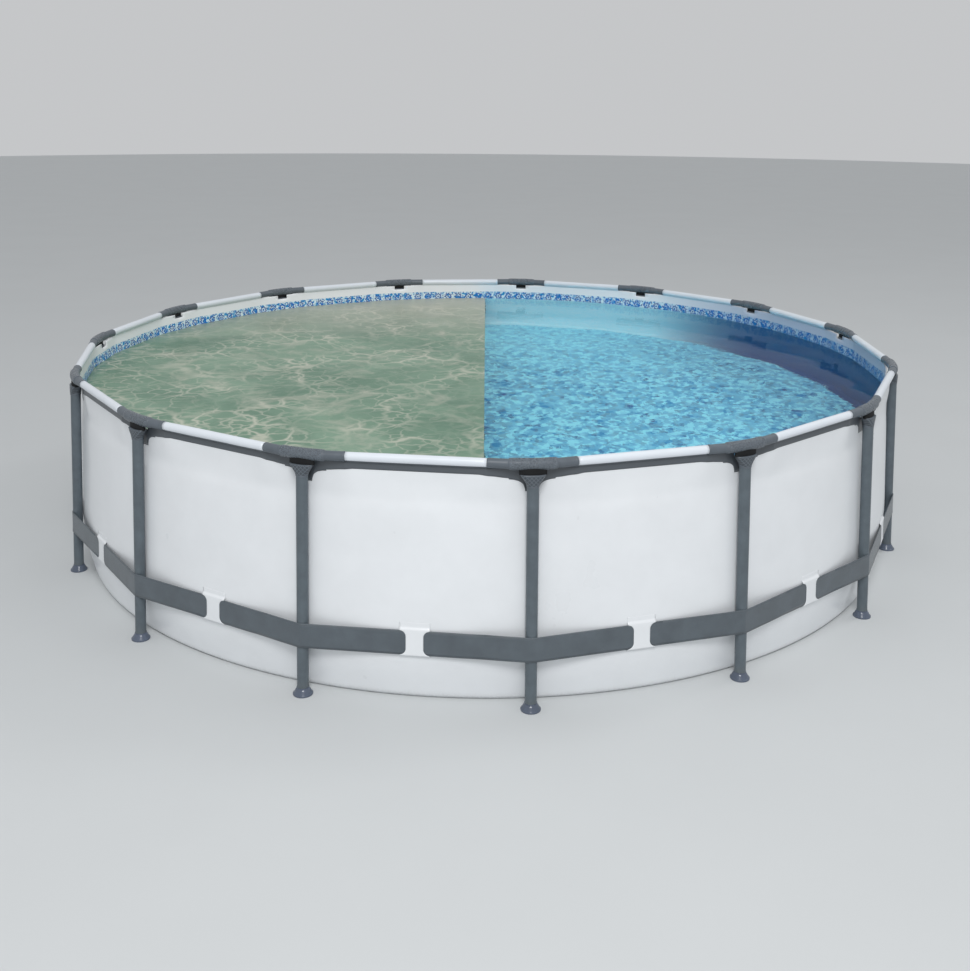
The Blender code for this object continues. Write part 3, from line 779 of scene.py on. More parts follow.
def steel_coat_finish(colours):
    """Satin powder coat with fine orange peel, scuffs and dust near the ground."""
    made, wires, shader = principled("leg_satin_coat", metallic=0.0)
    spot = wires.objects()
    grain = wires.group("fine_grain", vector=spot, scale=900.0)
    scuffs = wires.group("scuffs", vector=spot, scale=14.0, amount=0.35)["Mask"]
    splash = wires.group("ground_splash", vector=spot, reach=0.10)["Mask"]
    base = mottled(wires, grain["Tone"], colours.leg, 0.88, 1.12)
    worn = wires.mix(scuffs, base, shade(colours.leg, 1.9))
    dust = wires.times(splash, 0.25)
    base = wires.mix(dust, worn, (0.22, 0.2, 0.17))
    rough = wires.math("ADD", wires.scaled(grain["Tone"], 0.16, 0.3), dust)
    dress(wires, shader, base, rough, wires.bump(grain["Height"], 0.12, 0.0004))
    return made


def moulded_finish(name, tint, pattern=None, gloss=0.42):
    """Moulded plastic with fine grain; pattern(wires) adds a raised texture in UV metres, with painted
    shade in its grooves and painted highlight on its ridges.
    """
    made, wires, shader = principled(name)
    spot = wires.objects()
    grain = wires.group("fine_grain", vector=spot, scale=700.0)
    scuffs = wires.group("scuffs", vector=spot, scale=20.0, amount=0.3)["Mask"]
    base = mottled(wires, grain["Tone"], tint, 0.9, 1.1)
    normal = wires.bump(grain["Height"], 0.18, 0.0003)
    if pattern:
        raised = pattern(wires)
        # Painted shade in the pattern's grooves and painted highlight on its ridges.
        base = wires.mix(raised, shade(tint, 0.62), wires.mix(0.7, base, shade(tint, 1.45)))
        normal = wires.bump(raised, 0.9, 0.0012, normal)
    base = wires.mix(scuffs, base, shade(tint, 1.7))
    dress(wires, shader, base, wires.scaled(grain["Tone"], 0.2, gloss - 0.1), normal)
    return made


def pebble_pattern(wires):
    """Close rows of small raised dashes, as on the connector's saddle."""
    slanted = wires.stretch(wires.surface(), (420.0, 230.0, 1.0), turn=(0.0, 0.0, 0.55))
    bumps = wires.cells(slanted, 1.0, "SMOOTH_F1", randomness=0.5)
    return wires.remap(bumps, 0.55, 0.3, smooth=True)


def diamond_pattern(wires):
    """Raised diamond net, as on the connector's collar."""
    across, up, _ = wires.parts(wires.surface())
    one = wires.math("PINGPONG", wires.math("ADD", across, up), 0.0085)
    other = wires.math("PINGPONG", wires.math("SUBTRACT", across, up), 0.0085)
    nearest = wires.math("MINIMUM", one, other)
    return wires.remap(nearest, 0.0026, 0.0012, smooth=True)


def galvanised_finish():
    """Bare galvanised rails: spangled grey zinc."""
    made, wires, shader = principled("galvanised_rail", metallic=0.9)
    spot = wires.objects()
    spangle = wires.parts(wires.cells(spot, 160.0, output="Color"))[0]
    tint = wires.mix(spangle, (0.32, 0.34, 0.36), (0.52, 0.54, 0.56))
    grain = wires.group("fine_grain", vector=spot, scale=500.0)
    rough = wires.scaled(spangle, 0.2, 0.28)
    dress(wires, shader, tint, rough, wires.bump(grain["Height"], 0.1, 0.0003))
    return made


def coated_fabric_finish(name, tint, gloss, splash_reach=0.0):
    """Coated fabric: the scrim shows faintly through a satin film."""
    made, wires, shader = principled(name, coat_weight=0.25, coat_roughness=0.18)
    spot = wires.objects()
    scrim = wires.group("plain_weave", vector=wires.surface(), pitch=0.0028)
    grain = wires.group("fine_grain", vector=spot, scale=260.0)
    base = mottled(wires, grain["Tone"], tint, 0.975, 1.02)
    base = wires.mix(wires.times(scrim["Gap"], 0.05), base, shade(tint, 0.8))
    rough = wires.scaled(grain["Tone"], 0.12, gloss)
    if splash_reach:
        splash = wires.group("ground_splash", vector=spot, reach=splash_reach)["Mask"]
        base = wires.mix(wires.times(splash, 0.35), base, (0.36, 0.37, 0.34))
        rough = wires.math("ADD", rough, wires.times(splash, 0.2))
    soft = wires.bump(wires.noise(spot, 5.0, 2.0), 0.12, 0.01)
    dress(wires, shader, base, rough, wires.bump(scrim["Height"], 0.10, 0.0004, soft))
    return made


def sleeve_finish(colours, radius):
    """Coated fabric, white above, with painted shade in the strip's dark grey along its lower outer
    side.
    """
    made, wires, shader = principled("sleeve_coating", coat_weight=0.25, coat_roughness=0.18)
    spot = wires.objects()
    around, along, _ = wires.parts(wires.surface())
    turn = wires.math("DIVIDE", around, radius)
    # Painted shade: the sleeve's lower outer side takes the strip's dark grey.
    painted_underside_shade = wires.times(wires.remap(turn, 2.30, 2.36), wires.remap(turn, 3.16, 3.10))
    scrim = wires.group("plain_weave", vector=wires.surface(), pitch=0.0028)
    grain = wires.group("fine_grain", vector=spot, scale=260.0)
    white = mottled(wires, grain["Tone"], colours.sleeve, 0.97, 1.02)
    base = wires.mix(painted_underside_shade, white, shade(colours.strip, 1.25))
    base = wires.mix(wires.times(scrim["Gap"], 0.05), base, (0.5, 0.5, 0.5))
    pucker = wires.noise(wires.stretch(spot, (9.0, 9.0, 30.0)), 1.0, 3.0)
    normal = wires.bump(scrim["Height"], 0.10, 0.0004, wires.bump(pucker, 0.25, 0.004))
    dress(wires, shader, base, wires.scaled(grain["Tone"], 0.12, 0.28), normal)
    return made


def inner_wall_finish(colours, liner):
    """Inside of the wall: a flower band at the waterline, pale above and blue below.

    Painted shade deepens the blue towards +X and darkens the whole inside there, standing in for the
    shade on that side.
    """
    made, wires, shader = principled("printed_inner_wall")
    spot = wires.objects()
    aside, _, height = wires.parts(spot)
    middle = (liner.print_top + liner.print_bottom) / 2.0
    blur = 0.001
    flowers = wires.group("flower_band", vector=wires.surface(), pitch=0.078, middle=middle)
    petal = wires.mix(flowers["Tone"], shade(colours.print_blue, 0.5), shade(colours.print_blue, 1.5))
    specks = wires.remap(flowers["Tone"], 0.4, 0.9)
    ground = wires.mix(specks, colours.print_pale, shade(colours.tile_mid, 1.1))
    band = wires.mix(flowers["Mask"], ground, petal)
    # Painted shade: the wall below the print turns deep blue towards +X, with a painted lit pale
    # elsewhere.
    shaded = wires.remap(aside, 1.35, 2.0, smooth=True)
    painted_lit_blue = wires.mix(wires.noise(spot, 26.0, 3.0), colours.pale_tile_and_painted_light, colours.print_pale)
    below = wires.mix(shaded, painted_lit_blue, colours.deep)
    in_band = wires.remap(height, liner.print_bottom - blur, liner.print_bottom + blur)
    above = wires.remap(height, liner.print_top - blur, liner.print_top + blur)
    base = wires.mix(above, wires.mix(in_band, below, band), colours.skirt)
    # Painted shade darkens the whole inside towards +X.
    painted_dimming = wires.remap(aside, 1.2, 2.1, 0.0, 0.5, smooth=True)
    base = wires.mix(painted_dimming, base, shade(colours.deep, 1.6))
    scrim = wires.group("plain_weave", vector=wires.surface(), pitch=0.0028)
    rough = wires.scaled(scrim["Gap"], 0.1, 0.34)
    dress(wires, shader, base, rough, wires.bump(scrim["Height"], 0.1, 0.0004))
    return made


def floor_finish(colours):
    """Printed mosaic floor with a painted net of light across it, and painted light that makes it paler
    towards +Y.
    """
    made, wires, shader = principled("mosaic_floor")
    spot = wires.objects()
    mosaic = wires.group(
        "mosaic_tiles",
        vector=spot,
        scale=36.0,
        dark=colours.tile_dark,
        middle=colours.tile_mid,
        pale=colours.pale_tile_and_painted_light,
    )
    web = wires.group("light_web", vector=spot, scale=5.5, width=0.14)["Mask"]
    fine_web = wires.group("light_web", vector=spot, scale=17.0, width=0.16)["Mask"]
    # Painted light: a net of bright lines, as light makes through ruffled water.
    light = wires.times(wires.math("MAXIMUM", web, wires.times(fine_web, 0.7)), 0.55)
    base = wires.mix(light, mosaic["Colour"], colours.pale_tile_and_painted_light)
    # Painted light: paler towards +Y.
    ahead = wires.remap(wires.parts(spot)[1], 0.4, 2.1, 0.0, 0.55)
    base = wires.mix(ahead, base, colours.pale_tile_and_painted_light)
    rough = wires.scaled(mosaic["Joint"], 0.2, 0.4)
    dress(wires, shader, base, rough, wires.bump(mosaic["Joint"], 0.15, 0.0005))
    return made


def webbing_finish(colours):
    """Woven belt: a coarse weave with two darker lines along its edges."""
    made, wires, shader = principled("woven_belt", sheen_weight=0.15)
    weave = wires.group("plain_weave", vector=wires.surface(), pitch=0.0034)
    up = wires.parts(wires.surface())[1]
    off_middle = wires.math("ABSOLUTE", wires.math("SUBTRACT", up, BELT_HEIGHT))
    half = (BELT_HIGH - BELT_LOW) / 2.0
    line = wires.math("ABSOLUTE", wires.math("SUBTRACT", off_middle, half - 0.007))
    edge = wires.remap(line, 0.0016, 0.0004)
    tone = wires.noise(wires.objects(), 14.0, 3.0)
    base = mottled(wires, tone, colours.belt, 0.9, 1.12)
    base = wires.mix(weave["Gap"], base, shade(colours.belt, 0.6))
    base = wires.mix(wires.times(edge, 0.5), base, shade(colours.belt, 0.5))
    relief = wires.math("SUBTRACT", weave["Height"], edge)
    dress(wires, shader, base, wires.scaled(weave["Gap"], 0.2, 0.5), wires.bump(relief, 0.35, 0.0006))
    return made


def rubber_finish(colours):
    """Black rubber with fine grain."""
    made, wires, shader = principled("moulded_rubber")
    grain = wires.group("fine_grain", vector=wires.objects(), scale=600.0)
    base = mottled(wires, grain["Tone"], colours.rubber, 0.8, 1.5)
    rough = wires.scaled(grain["Tone"], 0.2, 0.55)
    dress(wires, shader, base, rough, wires.bump(grain["Height"], 0.2, 0.0003))
    return made


def murky_water_finish(colours):
    """Cloudy green water with painted light lines, as ripples make on it, and a soft gloss."""
    made, wires, shader = principled("murky_water", roughness=0.34, ior=1.33)
    spot = wires.objects()
    level = wires.stretch(spot, (1.0, 1.0, 0.0))
    clouds = wires.noise(level, 1.6, 5.0, 0.6, 0.6)
    base = wires.mix(wires.remap(clouds, 0.35, 0.62), colours.murky_deep, colours.murky)
    silt = wires.noise(level, 3.4, 5.0, 0.65, 1.0)
    base = wires.mix(wires.remap(silt, 0.52, 0.72, 0.0, 0.6), base, colours.murky_pale_and_painted_light)
    # Painted light: a net of pale lines, as ripples make.
    web = wires.group("light_web", vector=level, scale=3.6, width=0.035)["Mask"]
    fine_web = wires.group("light_web", vector=level, scale=10.0, width=0.05)["Mask"]
    patches = wires.remap(wires.noise(level, 2.2, 3.0), 0.42, 0.62)
    painted_light_lines = wires.math("MAXIMUM", web, wires.times(fine_web, 0.7))
    painted_light_lines = wires.times(painted_light_lines, wires.scaled(patches, 0.65, 0.1))
    ahead = wires.remap(wires.parts(spot)[1], 0.7, 2.2, 0.0, 0.9)
    base = wires.mix(ahead, base, colours.murky_pale_and_painted_light)
    base = wires.mix(painted_light_lines, base, shade(colours.murky_pale_and_painted_light, 1.2))
    ripples = wires.noise(level, 11.0, 3.0)
    dress(wires, shader, base, normal=wires.bump(ripples, 0.5, 0.004))
    return made


def clear_water_finish():
    """Clear water with calm reflections: it bends the view of the floor and lets lamps light it."""
    tint = (0.86, 0.97, 1.0)
    glass = {"roughness": 0.0, "ior": 1.33, "transmission_weight": 1.0}
    made, wires, shader = principled("clear_water", base_color=tint, **glass)
    level = wires.stretch(wires.objects(), (1.0, 1.0, 0.0))
    small = wires.noise(level, 9.0, 3.0, 0.55)
    fine = wires.noise(level, 34.0, 2.0, 0.5)
    normal = wires.bump(wires.scaled(fine, 0.3, small), 0.22, 0.006)
    wires.feed(shader.inputs["Normal"], normal)
    bending = {"Color": (0.93, 0.985, 1.0), "Roughness": 0.0, "IOR": 1.33, "Normal": normal}
    bend = wires.add("ShaderNodeBsdfRefraction", bending)
    calm = wires.add("ShaderNodeMixShader", {0: 0.6, 1: shader.outputs[0], 2: bend.outputs[0]})
    path = wires.add("ShaderNodeLightPath").outputs["Is Shadow Ray"]
    through = wires.add("ShaderNodeBsdfTransparent", {"Color": tint})
    mixed = wires.add("ShaderNodeMixShader", {0: path, 1: calm.outputs[0], 2: through.outputs[0]})
    output = wires.tree.nodes["Material Output"]
    wires.tree.links.new(mixed.outputs[0], output.inputs["Surface"])
    return made


def plain_finish(name, tint, rough):
    """Even matt finish with a trace of grain, for the studio floor."""
    made, wires, shader = principled(name, roughness=rough)
    grain = wires.group("fine_grain", vector=wires.objects(), scale=60.0)
    dress(wires, shader, mottled(wires, grain["Tone"], tint, 0.99, 1.01))
    return made


# ------------------------------------------------------------------ frame pieces
class POOL_OT_legs(bpy.types.Operator):
    """Add the splayed leg tubes, each with a narrowed top"""

    bl_idname = "pool.legs"
    bl_label = "Leg tubes"

    def execute(self, context):
        steel = context.scene.pool_steel
        radius = steel.leg_diameter / 2.0
        neck = steel.swage_diameter / 2.0
        shoulder = RAIL_HEIGHT - steel.collar_bottom - 0.0003
        outline = rounded_outline(
            [
                (0.0, 0.008, 0.0),
                (radius, 0.008, 0.0),
                (radius, shoulder, 0.0022),
                (neck, shoulder + 0.0002, 0.001),
                (neck, RAIL_HEIGHT - 0.047, 0.0),
                (0.0, RAIL_HEIGHT - 0.047, 0.0),
            ]
        )
        bm = turn_outline(outline, 40)
        wrap_uv(bm, radius)
        mesh = baked(bm, "leg_tube", [steel_coat_finish(context.scene.pool_colours)])
        add_ring("leg_tube", mesh, along_leg(steel, 0.0), station_turn, "leg")
        return {"FINISHED"}


class POOL_OT_feet(bpy.types.Operator):
    """Add the flared foot caps"""

    bl_idname = "pool.feet"
    bl_label = "Foot caps"

    def execute(self, context):
        steel = context.scene.pool_steel
        leg = steel.leg_diameter / 2.0
        rim = steel.foot_diameter / 2.0
        lip = leg + 0.0022
        outline = rounded_outline(
            [
                (0.0, 0.0, 0.0),
                (rim, 0.0, 0.0015),
                (rim, 0.0065, 0.002),
                (rim - 0.0035, 0.0085, 0.002),
                (leg + 0.0062, 0.0235, 0.006),
                (lip, 0.0285, 0.004),
                (lip, steel.foot_height, 0.001),
                (leg + 0.0002, steel.foot_height, 0.0),
                (leg + 0.0002, 0.009, 0.0),
                (0.0, 0.007, 0.0),
            ]
        )
        bm = turn_outline(outline, 48)
        wrap_uv(bm, rim)
        finish = moulded_finish("foot_cap_plastic", context.scene.pool_colours.foot, gloss=0.2)
        mesh = baked(bm, "foot_cap", [finish])
        add_ring("foot_cap", mesh, along_leg(steel, 0.0), station_turn)
        return {"FINISHED"}


def arm_mesh(steel):
    """One arm of a connector along +Z, from beyond its middle to its rounded end."""
    arm = steel.arm_diameter / 2.0
    saddle = steel.saddle_diameter / 2.0
    socket = arm - 0.0024
    half = steel.saddle_half
    end = steel.arm_length
    rings = 8
    corners = [
        (0.0, BEND_LENGTH + 0.001, 0.0),
        (socket, BEND_LENGTH + 0.001, 0.0),
        (socket, end, 0.0012),
        (arm - 0.0006, end, 0.0016),
        (arm + 0.0007, end - 0.0035, 0.0015),
        (arm + 0.0007, end - 0.010, 0.0015),
        (arm, end - 0.012, 0.001),
        (arm, BEND_LENGTH, 0.0),
        (arm, half + 0.012, 0.0),
        (arm, half + 0.003, 0.002),
        (saddle - 0.0012, half - 0.001, 0.002),
        (saddle - 0.0006, half - 0.005, 0.002),
    ]
    corners += [(saddle, (half - 0.012) * (1.0 - step / rings), 0.0) for step in range(rings)]
    corners += [(saddle, -0.02, 0.0), (0.0, -0.02, 0.0)]
    outline = rounded_outline(corners)
    bm = turn_outline(outline, 40)
    wrap_uv(bm, saddle)
    for face in bm.faces:
        middle = face.calc_center_median()
        on_skin = middle.xy.length > arm + 0.0012
        if on_skin and middle.z < half - 0.006:
            face.material_index = 1
    return bm


def collar_mesh(steel):
    """Fan-shaped collar in the leg's direction, hanging from the bar."""
    bottom = steel.swage_diameter / 2.0 + 0.0044
    height = steel.collar_bottom - steel.collar_top
    wide = steel.collar_width / 2.0
    deep = steel.collar_depth / 2.0
    rows = [  # share of the height from the bottom, half width, half depth
        (0.0, bottom - 0.0012, bottom - 0.0012),
        (0.03, bottom, bottom),
        (0.10, bottom, bottom),
        (0.13, bottom - 0.0008, bottom - 0.0008),
        (0.16, bottom + 0.0006, bottom + 0.0004),
        (0.32, bottom + 0.0035, bottom + 0.0008),
        (0.50, bottom + 0.0095, bottom + 0.001),
        (0.70, bottom + 0.0170, bottom + 0.0014),
        (0.86, wide - 0.0035, deep - 0.0002),
        (0.96, wide, deep),
        (1.0, wide - 0.0012, deep - 0.0012),
    ]
    bm = bmesh.new()
    ring = bmesh.ops.create_circle(bm, segments=48, radius=1.0, cap_ends=False)
    loop = ring["verts"]
    edges = list({edge for vert in loop for edge in vert.link_edges})
    rows_made = [loop]
    for _ in rows[1:]:
        edges, source = sweep(bm, edges)
        rows_made.append(list(source))
    for (share, half_width, half_depth), verts in zip(rows, rows_made):
        square = 0.5 + 0.5 * min(share / 0.8, 1.0)
        for vert in verts:
            around = math.atan2(vert.co.y, vert.co.x)
            fullness = 1.0 - 0.32 * (square - 0.5) * 2.0
            across = math.copysign(abs(math.sin(around)) ** fullness, math.sin(around))
            inward = math.copysign(abs(math.cos(around)) ** fullness, math.cos(around))
            vert.co = Vector((inward * half_depth, across * half_width, share * height))
    for cap in (rows_made[0], rows_made[-1]):
        edges = [edge for edge in bm.edges if edge.verts[0] in cap and edge.verts[1] in cap]
        bmesh.ops.edgeloop_fill(bm, edges=edges)
    bmesh.ops.recalc_face_normals(bm, faces=bm.faces)
    plane_uv(bm, lambda spot: (spot.y, spot.z))
    for face in bm.faces:
        share = face.calc_center_median().z / height
        if 0.16 < share < 0.94 and len(face.verts) == 4:
            face.material_index = 2
    bmesh.ops.translate(bm, verts=bm.verts, vec=(0.0, 0.0, -steel.collar_bottom))
    return bm


def neck_mesh(steel):
    """Neck between the bar and the collar, lens-shaped seen from above; its near-black colour is painted
    shade under the bar.
    """
    bm = bmesh.new()
    depth = steel.collar_top - 0.008
    bmesh.ops.create_circle(bm, cap_ends=True, segments=48, radius=1.0)
    swept = bmesh.ops.extrude_face_region(bm, geom=bm.faces[:])["geom"]
    lifted = [item for item in swept if isinstance(item, bmesh.types.BMVert)]
    bmesh.ops.translate(bm, verts=lifted, vec=(0.0, 0.0, depth))
    bmesh.ops.scale(bm, verts=bm.verts, vec=(0.0195, steel.collar_width / 2.0 + 0.004, 1.0))
    bmesh.ops.translate(bm, verts=bm.verts, vec=(0.0, 0.0, -steel.collar_top - 0.002))
    bmesh.ops.recalc_face_normals(bm, faces=bm.faces)
    for face in bm.faces:
        face.material_index = 3
    plane_uv(bm, lambda spot: (spot.y, spot.z))
    return bm


def sweep(bm, edges):
    """Extrudes edges; gives the new edges and, for each new vert, the one it came from."""
    old = {vert for edge in edges for vert in edge.verts}
    swept = bmesh.ops.extrude_edge_only(bm, edges=edges)["geom"]
    ahead = [item for item in swept if isinstance(item, bmesh.types.BMEdge)]
    fresh = [item for item in swept if isinstance(item, bmesh.types.BMVert)]
    source = {}
    for vert in fresh:
        beside = [edge.other_vert(vert) for edge in vert.link_edges]
        source[vert] = next(other for other in beside if other in old)
    return ahead, source


def face_outwards(bm):
    """Turns an open shell round the pool so that its faces look away from the middle."""
    bmesh.ops.recalc_face_normals(bm, faces=bm.faces)
    if sum(face.normal.xy.dot(face.calc_center_median().xy) for face in bm.faces) < 0.0:
        bmesh.ops.reverse_faces(bm, faces=bm.faces)


def join_into(target, source, place):
    """Adds one bmesh's geometry to another, moved by place, and frees it."""
    loose = bpy.data.meshes.new("loose")
    source.to_mesh(loose)
    source.free()
    loose.transform(place)
    target.from_mesh(loose)
    bpy.data.meshes.remove(loose)


class POOL_OT_connectors(bpy.types.Operator):
    """Add the T-connectors: a bent bar with a textured saddle, on a fan-shaped collar"""

    bl_idname = "pool.connectors"
    bl_label = "T-connectors"

    def execute(self, context):
        steel = context.scene.pool_steel
        tint = context.scene.pool_colours.connector
        bar = arm_mesh(steel)
        for vert in bar.verts:
            vert.co = self.bent(vert.co)
        middle = {"plane_co": (0, 0, 0), "plane_no": (0, 1, 0)}
        everything = bar.verts[:] + bar.edges[:] + bar.faces[:]
        bmesh.ops.bisect_plane(bar, geom=everything, clear_inner=True, **middle)
        everything = bar.verts[:] + bar.edges[:] + bar.faces[:]
        straight = Matrix.Identity(4)
        bmesh.ops.mirror(bar, geom=everything, matrix=straight, merge_dist=0.0001, axis="Y")
        bmesh.ops.recalc_face_normals(bar, faces=bar.faces)
        join_into(bar, neck_mesh(steel), self.leaning(steel))
        join_into(bar, collar_mesh(steel), self.leaning(steel))
        finishes = [
            moulded_finish("connector_plain", tint),
            moulded_finish("connector_saddle", shade(tint, 1.1), pebble_pattern, 0.28),
            moulded_finish("connector_collar", shade(tint, 0.92), diamond_pattern, 0.4),
            # The neck's near-black finish is painted shade under the bar.
            moulded_finish("connector_neck_painted_shade", context.scene.pool_colours.neck_painted_shade, gloss=0.8),
        ]
        mesh = baked(bar, "connector", finishes, 32.0)
        corner = Matrix.Translation((RING_RADIUS, 0.0, RAIL_HEIGHT))
        add_ring("connector", mesh, corner, station_turn, "t_connector")
        return {"FINISHED"}

    @staticmethod
    def bent(spot):
        """Lays an arm down along +Y, on the bend that ends in line with a rail."""
        turn = min(spot.z, BEND_LENGTH) / BEND_RADIUS
        beyond = max(spot.z - BEND_LENGTH, 0.0)
        reach = BEND_RADIUS + spot.y
        inward = reach * math.cos(turn) - BEND_RADIUS - beyond * math.sin(turn)
        return Vector((inward, reach * math.sin(turn) + beyond * math.cos(turn), spot.x))

    @staticmethod
    def leaning(steel):
        shear = Matrix.Identity(4)
        shear[0][2] = -leg_splay(steel) / RAIL_HEIGHT
        return shear


class POOL_OT_rails(bpy.types.Operator):
    """Give the top rails their galvanised finish"""

    bl_idname = "pool.rails"
    bl_label = "Top rails"

    def execute(self, context):
        finish = galvanised_finish()
        for name, node in FRAME["nodes"].items():
            if name.startswith("top_rail_"):
                node.data.materials.clear()
                node.data.materials.append(finish)
        return {"FINISHED"}


# ------------------------------------------------------------------ liner
def column_bearing(raw, steel):
    """Bearing of a mesh column, closer together behind the connectors."""
    step = round((raw + math.pi / 2.0) / BAY_ANGLE * COLUMNS)
    bay, column = divmod(step, COLUMNS)
    end = sleeve_angle(steel)
    if column <= NOTCH_COLUMNS:
        inside = column / NOTCH_COLUMNS * end
    elif column < COLUMNS - NOTCH_COLUMNS:
        share = (column - NOTCH_COLUMNS) / (COLUMNS - 2 * NOTCH_COLUMNS)
        inside = end + share * (BAY_ANGLE - 2.0 * end)
    else:
        inside = BAY_ANGLE - (COLUMNS - column) / NOTCH_COLUMNS * end
    return -math.pi / 2.0 + bay * BAY_ANGLE + inside


def port_places():
    """Centre and outward direction of each fitting, from the packed frame."""
    joints = {joint["name"]: joint for joint in FRAME["record"]["behaviour"]["joints"]}
    places = {}
    for name in ("inlet", "outlet"):
        outward = -Vector(joints[f"{name}_stopper_pull"]["axis"]).normalized()
        places[name] = (node_middle(f"{name}_gasket") - outward * 0.0028, outward)
    outward = Vector(joints["drain_cap_unscrew"]["axis"]).normalized()
    places["drain"] = (node_middle("drain_cap") - outward * 0.02265, outward)
    return places


def press_flat(bm, places):
    """Flattens the wall where a fitting clamps it and opens the hole for its tube."""
    for name, (centre, outward) in places.items():
        hole = DRAIN_HOLE if name == "drain" else PORT_HOLE
        outer = centre + outward * 0.0015
        near = [vert for vert in bm.verts if (vert.co - outer).length < 0.16]
        around = {edge for vert in near for edge in vert.link_edges}
        bmesh.ops.subdivide_edges(bm, edges=list(around), cuts=3, use_grid_fill=True)
        near = [vert for vert in bm.verts if (vert.co - outer).length < 0.13]
        for vert in near:
            off = (vert.co - outer).dot(outward)
            side = (vert.co - outer - outward * off).length
            vert.co -= outward * off * (1.0 - smooth_step(side, CLAMP_RADIUS, CLAMP_RADIUS + 0.06))
        inner = [vert for vert in near if (vert.co - outer).length < hole]
        bmesh.ops.delete(bm, geom=inner, context="VERTS")
        rim = [vert for vert in bm.verts if vert.is_boundary and (vert.co - outer).length < 0.08]
        for vert in rim:
            aside = vert.co - outer
            aside -= outward * aside.dot(outward)
            vert.co = outer + aside.normalized() * hole


class POOL_OT_wall(bpy.types.Operator):
    """Add the liner's wall, cut away under each connector, with a print inside"""

    bl_idname = "pool.wall"
    bl_label = "Liner wall"

    def execute(self, context):
        steel = context.scene.pool_steel
        liner = context.scene.pool_liner
        colours = context.scene.pool_colours
        bm = turn_outline(wall_profile(steel), BAYS * COLUMNS)
        for vert in bm.verts:
            height = vert.co.z
            bearing = column_bearing(math.atan2(vert.co.y, vert.co.x), steel)
            vert.co = polar(bearing, skin_radius(bearing, height, vert.co.xy.length, steel), height)
        cut = []
        for face in bm.faces:
            middle = face.calc_center_median()
            off_leg = abs(from_leg(math.atan2(middle.y, middle.x)))
            if middle.z > RAIL_HEIGHT - notch_depth(off_leg, steel) and off_leg < sleeve_angle(steel):
                cut.append(face)
        bmesh.ops.delete(bm, geom=cut, context="FACES")
        press_flat(bm, port_places())
        face_outwards(bm)
        wrap_uv(bm, RING_RADIUS)
        finishes = [
            coated_fabric_finish("liner_coating", colours.liner, 0.24, 0.05),
            inner_wall_finish(colours, liner),
        ]
        mesh = baked(bm, "liner_wall_fabric", finishes)
        wall = add_piece("liner_wall_fabric", mesh, replaces=("liner_wall",))
        thicken(wall, liner.wall_thickness, -1.0, inner_material=1)
        return {"FINISHED"}


# The strip's edge flares down beside each leg as painted shadow of the connector.
STRIP_EDGE = (
    (0.0, 0.122),
    (0.0272, 0.122),
    (0.0285, 0.112),
    (0.034, 0.095),
    (0.040, 0.088),
    (0.048, 0.082),
    (0.060, 0.0755),
    (0.075, 0.0720),
    (0.0945, 0.0700),
    (0.0955, 0.0655),
    (0.155, 0.0570),
    (0.215, 0.0505),
    (0.50, 0.0505),
)  # distance aside from a leg, and depth of the dark strip's edge below the rail axis there


def strip_lower_edge(aside):
    """Height of the dark strip's lower edge at a distance aside from a leg."""
    for (near, high), (far, low) in zip(STRIP_EDGE, STRIP_EDGE[1:]):
        if aside <= far:
            return RAIL_HEIGHT - high - (low - high) * (aside - near) / (far - near)
    return RAIL_HEIGHT - STRIP_EDGE[-1][1]


STRIP_COLUMNS = (
    0.0, 0.013, 0.0265, 0.0272, 0.029, 0.0315, 0.035, 0.040, 0.047, 0.0548, 0.0558, 0.075,
    0.0945, 0.0955, 0.120, 0.150, 0.1795, 0.1805, 0.1832, 0.1838, 0.21, 0.25, 0.30, 0.36, 0.41,
)  # distances aside from a leg


class POOL_OT_strip(bpy.types.Operator):
    """Add the dark scalloped strip below the rails, partly its own dark grey and partly painted shadow
    of the rails and connectors
    """

    bl_idname = "pool.strip"
    bl_label = "Dark strip"

    def execute(self, context):
        steel = context.scene.pool_steel
        liner = context.scene.pool_liner
        profile = wall_profile(steel)
        half_bay_length = RING_RADIUS * HALF_BAY
        columns = [aside / RING_RADIUS for aside in STRIP_COLUMNS if aside < half_bay_length]
        bearings = [-math.pi / 2.0 + station * BAY_ANGLE for station in range(BAYS)]
        offsets = {side * off for off in columns for side in (-1, 1)}
        spread = sorted({start + off for start in bearings for off in offsets})
        bm = bmesh.new()
        ring = bmesh.ops.create_circle(bm, segments=len(spread), radius=1.0, cap_ends=False)["verts"]
        ring.sort(key=lambda vert: math.atan2(vert.co.y, vert.co.x))
        order = {vert: bearing for vert, bearing in zip(ring, spread)}
        edges = bm.edges[:]
        rows = [list(order)]
        levels = 6
        for _ in range(levels):
            edges, source = sweep(bm, edges)
            order.update({vert: order[below] for vert, below in source.items()})
            rows.append(list(source))
        for step, row in enumerate(rows):
            for vert in row:
                bearing = order[vert]
                aside = abs(from_leg(bearing)) * RING_RADIUS
                low = strip_lower_edge(aside)
                high = RAIL_HEIGHT - notch_depth(abs(from_leg(bearing)), steel)
                height = low + (high - low) * step / levels
                radius = skin_radius(bearing, height, profile_radius(profile, height), steel)
                vert.co = polar(bearing, radius + 0.0003, height)
        face_outwards(bm)
        wrap_uv(bm, RING_RADIUS)
        finish = coated_fabric_finish("dark_strip_and_painted_shadow", context.scene.pool_colours.strip, 0.34)
        strip = add_piece("wall_top_strip_and_painted_shadow", baked(bm, "wall_top_strip_and_painted_shadow", [finish]))
        thicken(strip, liner.strip_thickness, 1.0)
        return {"FINISHED"}


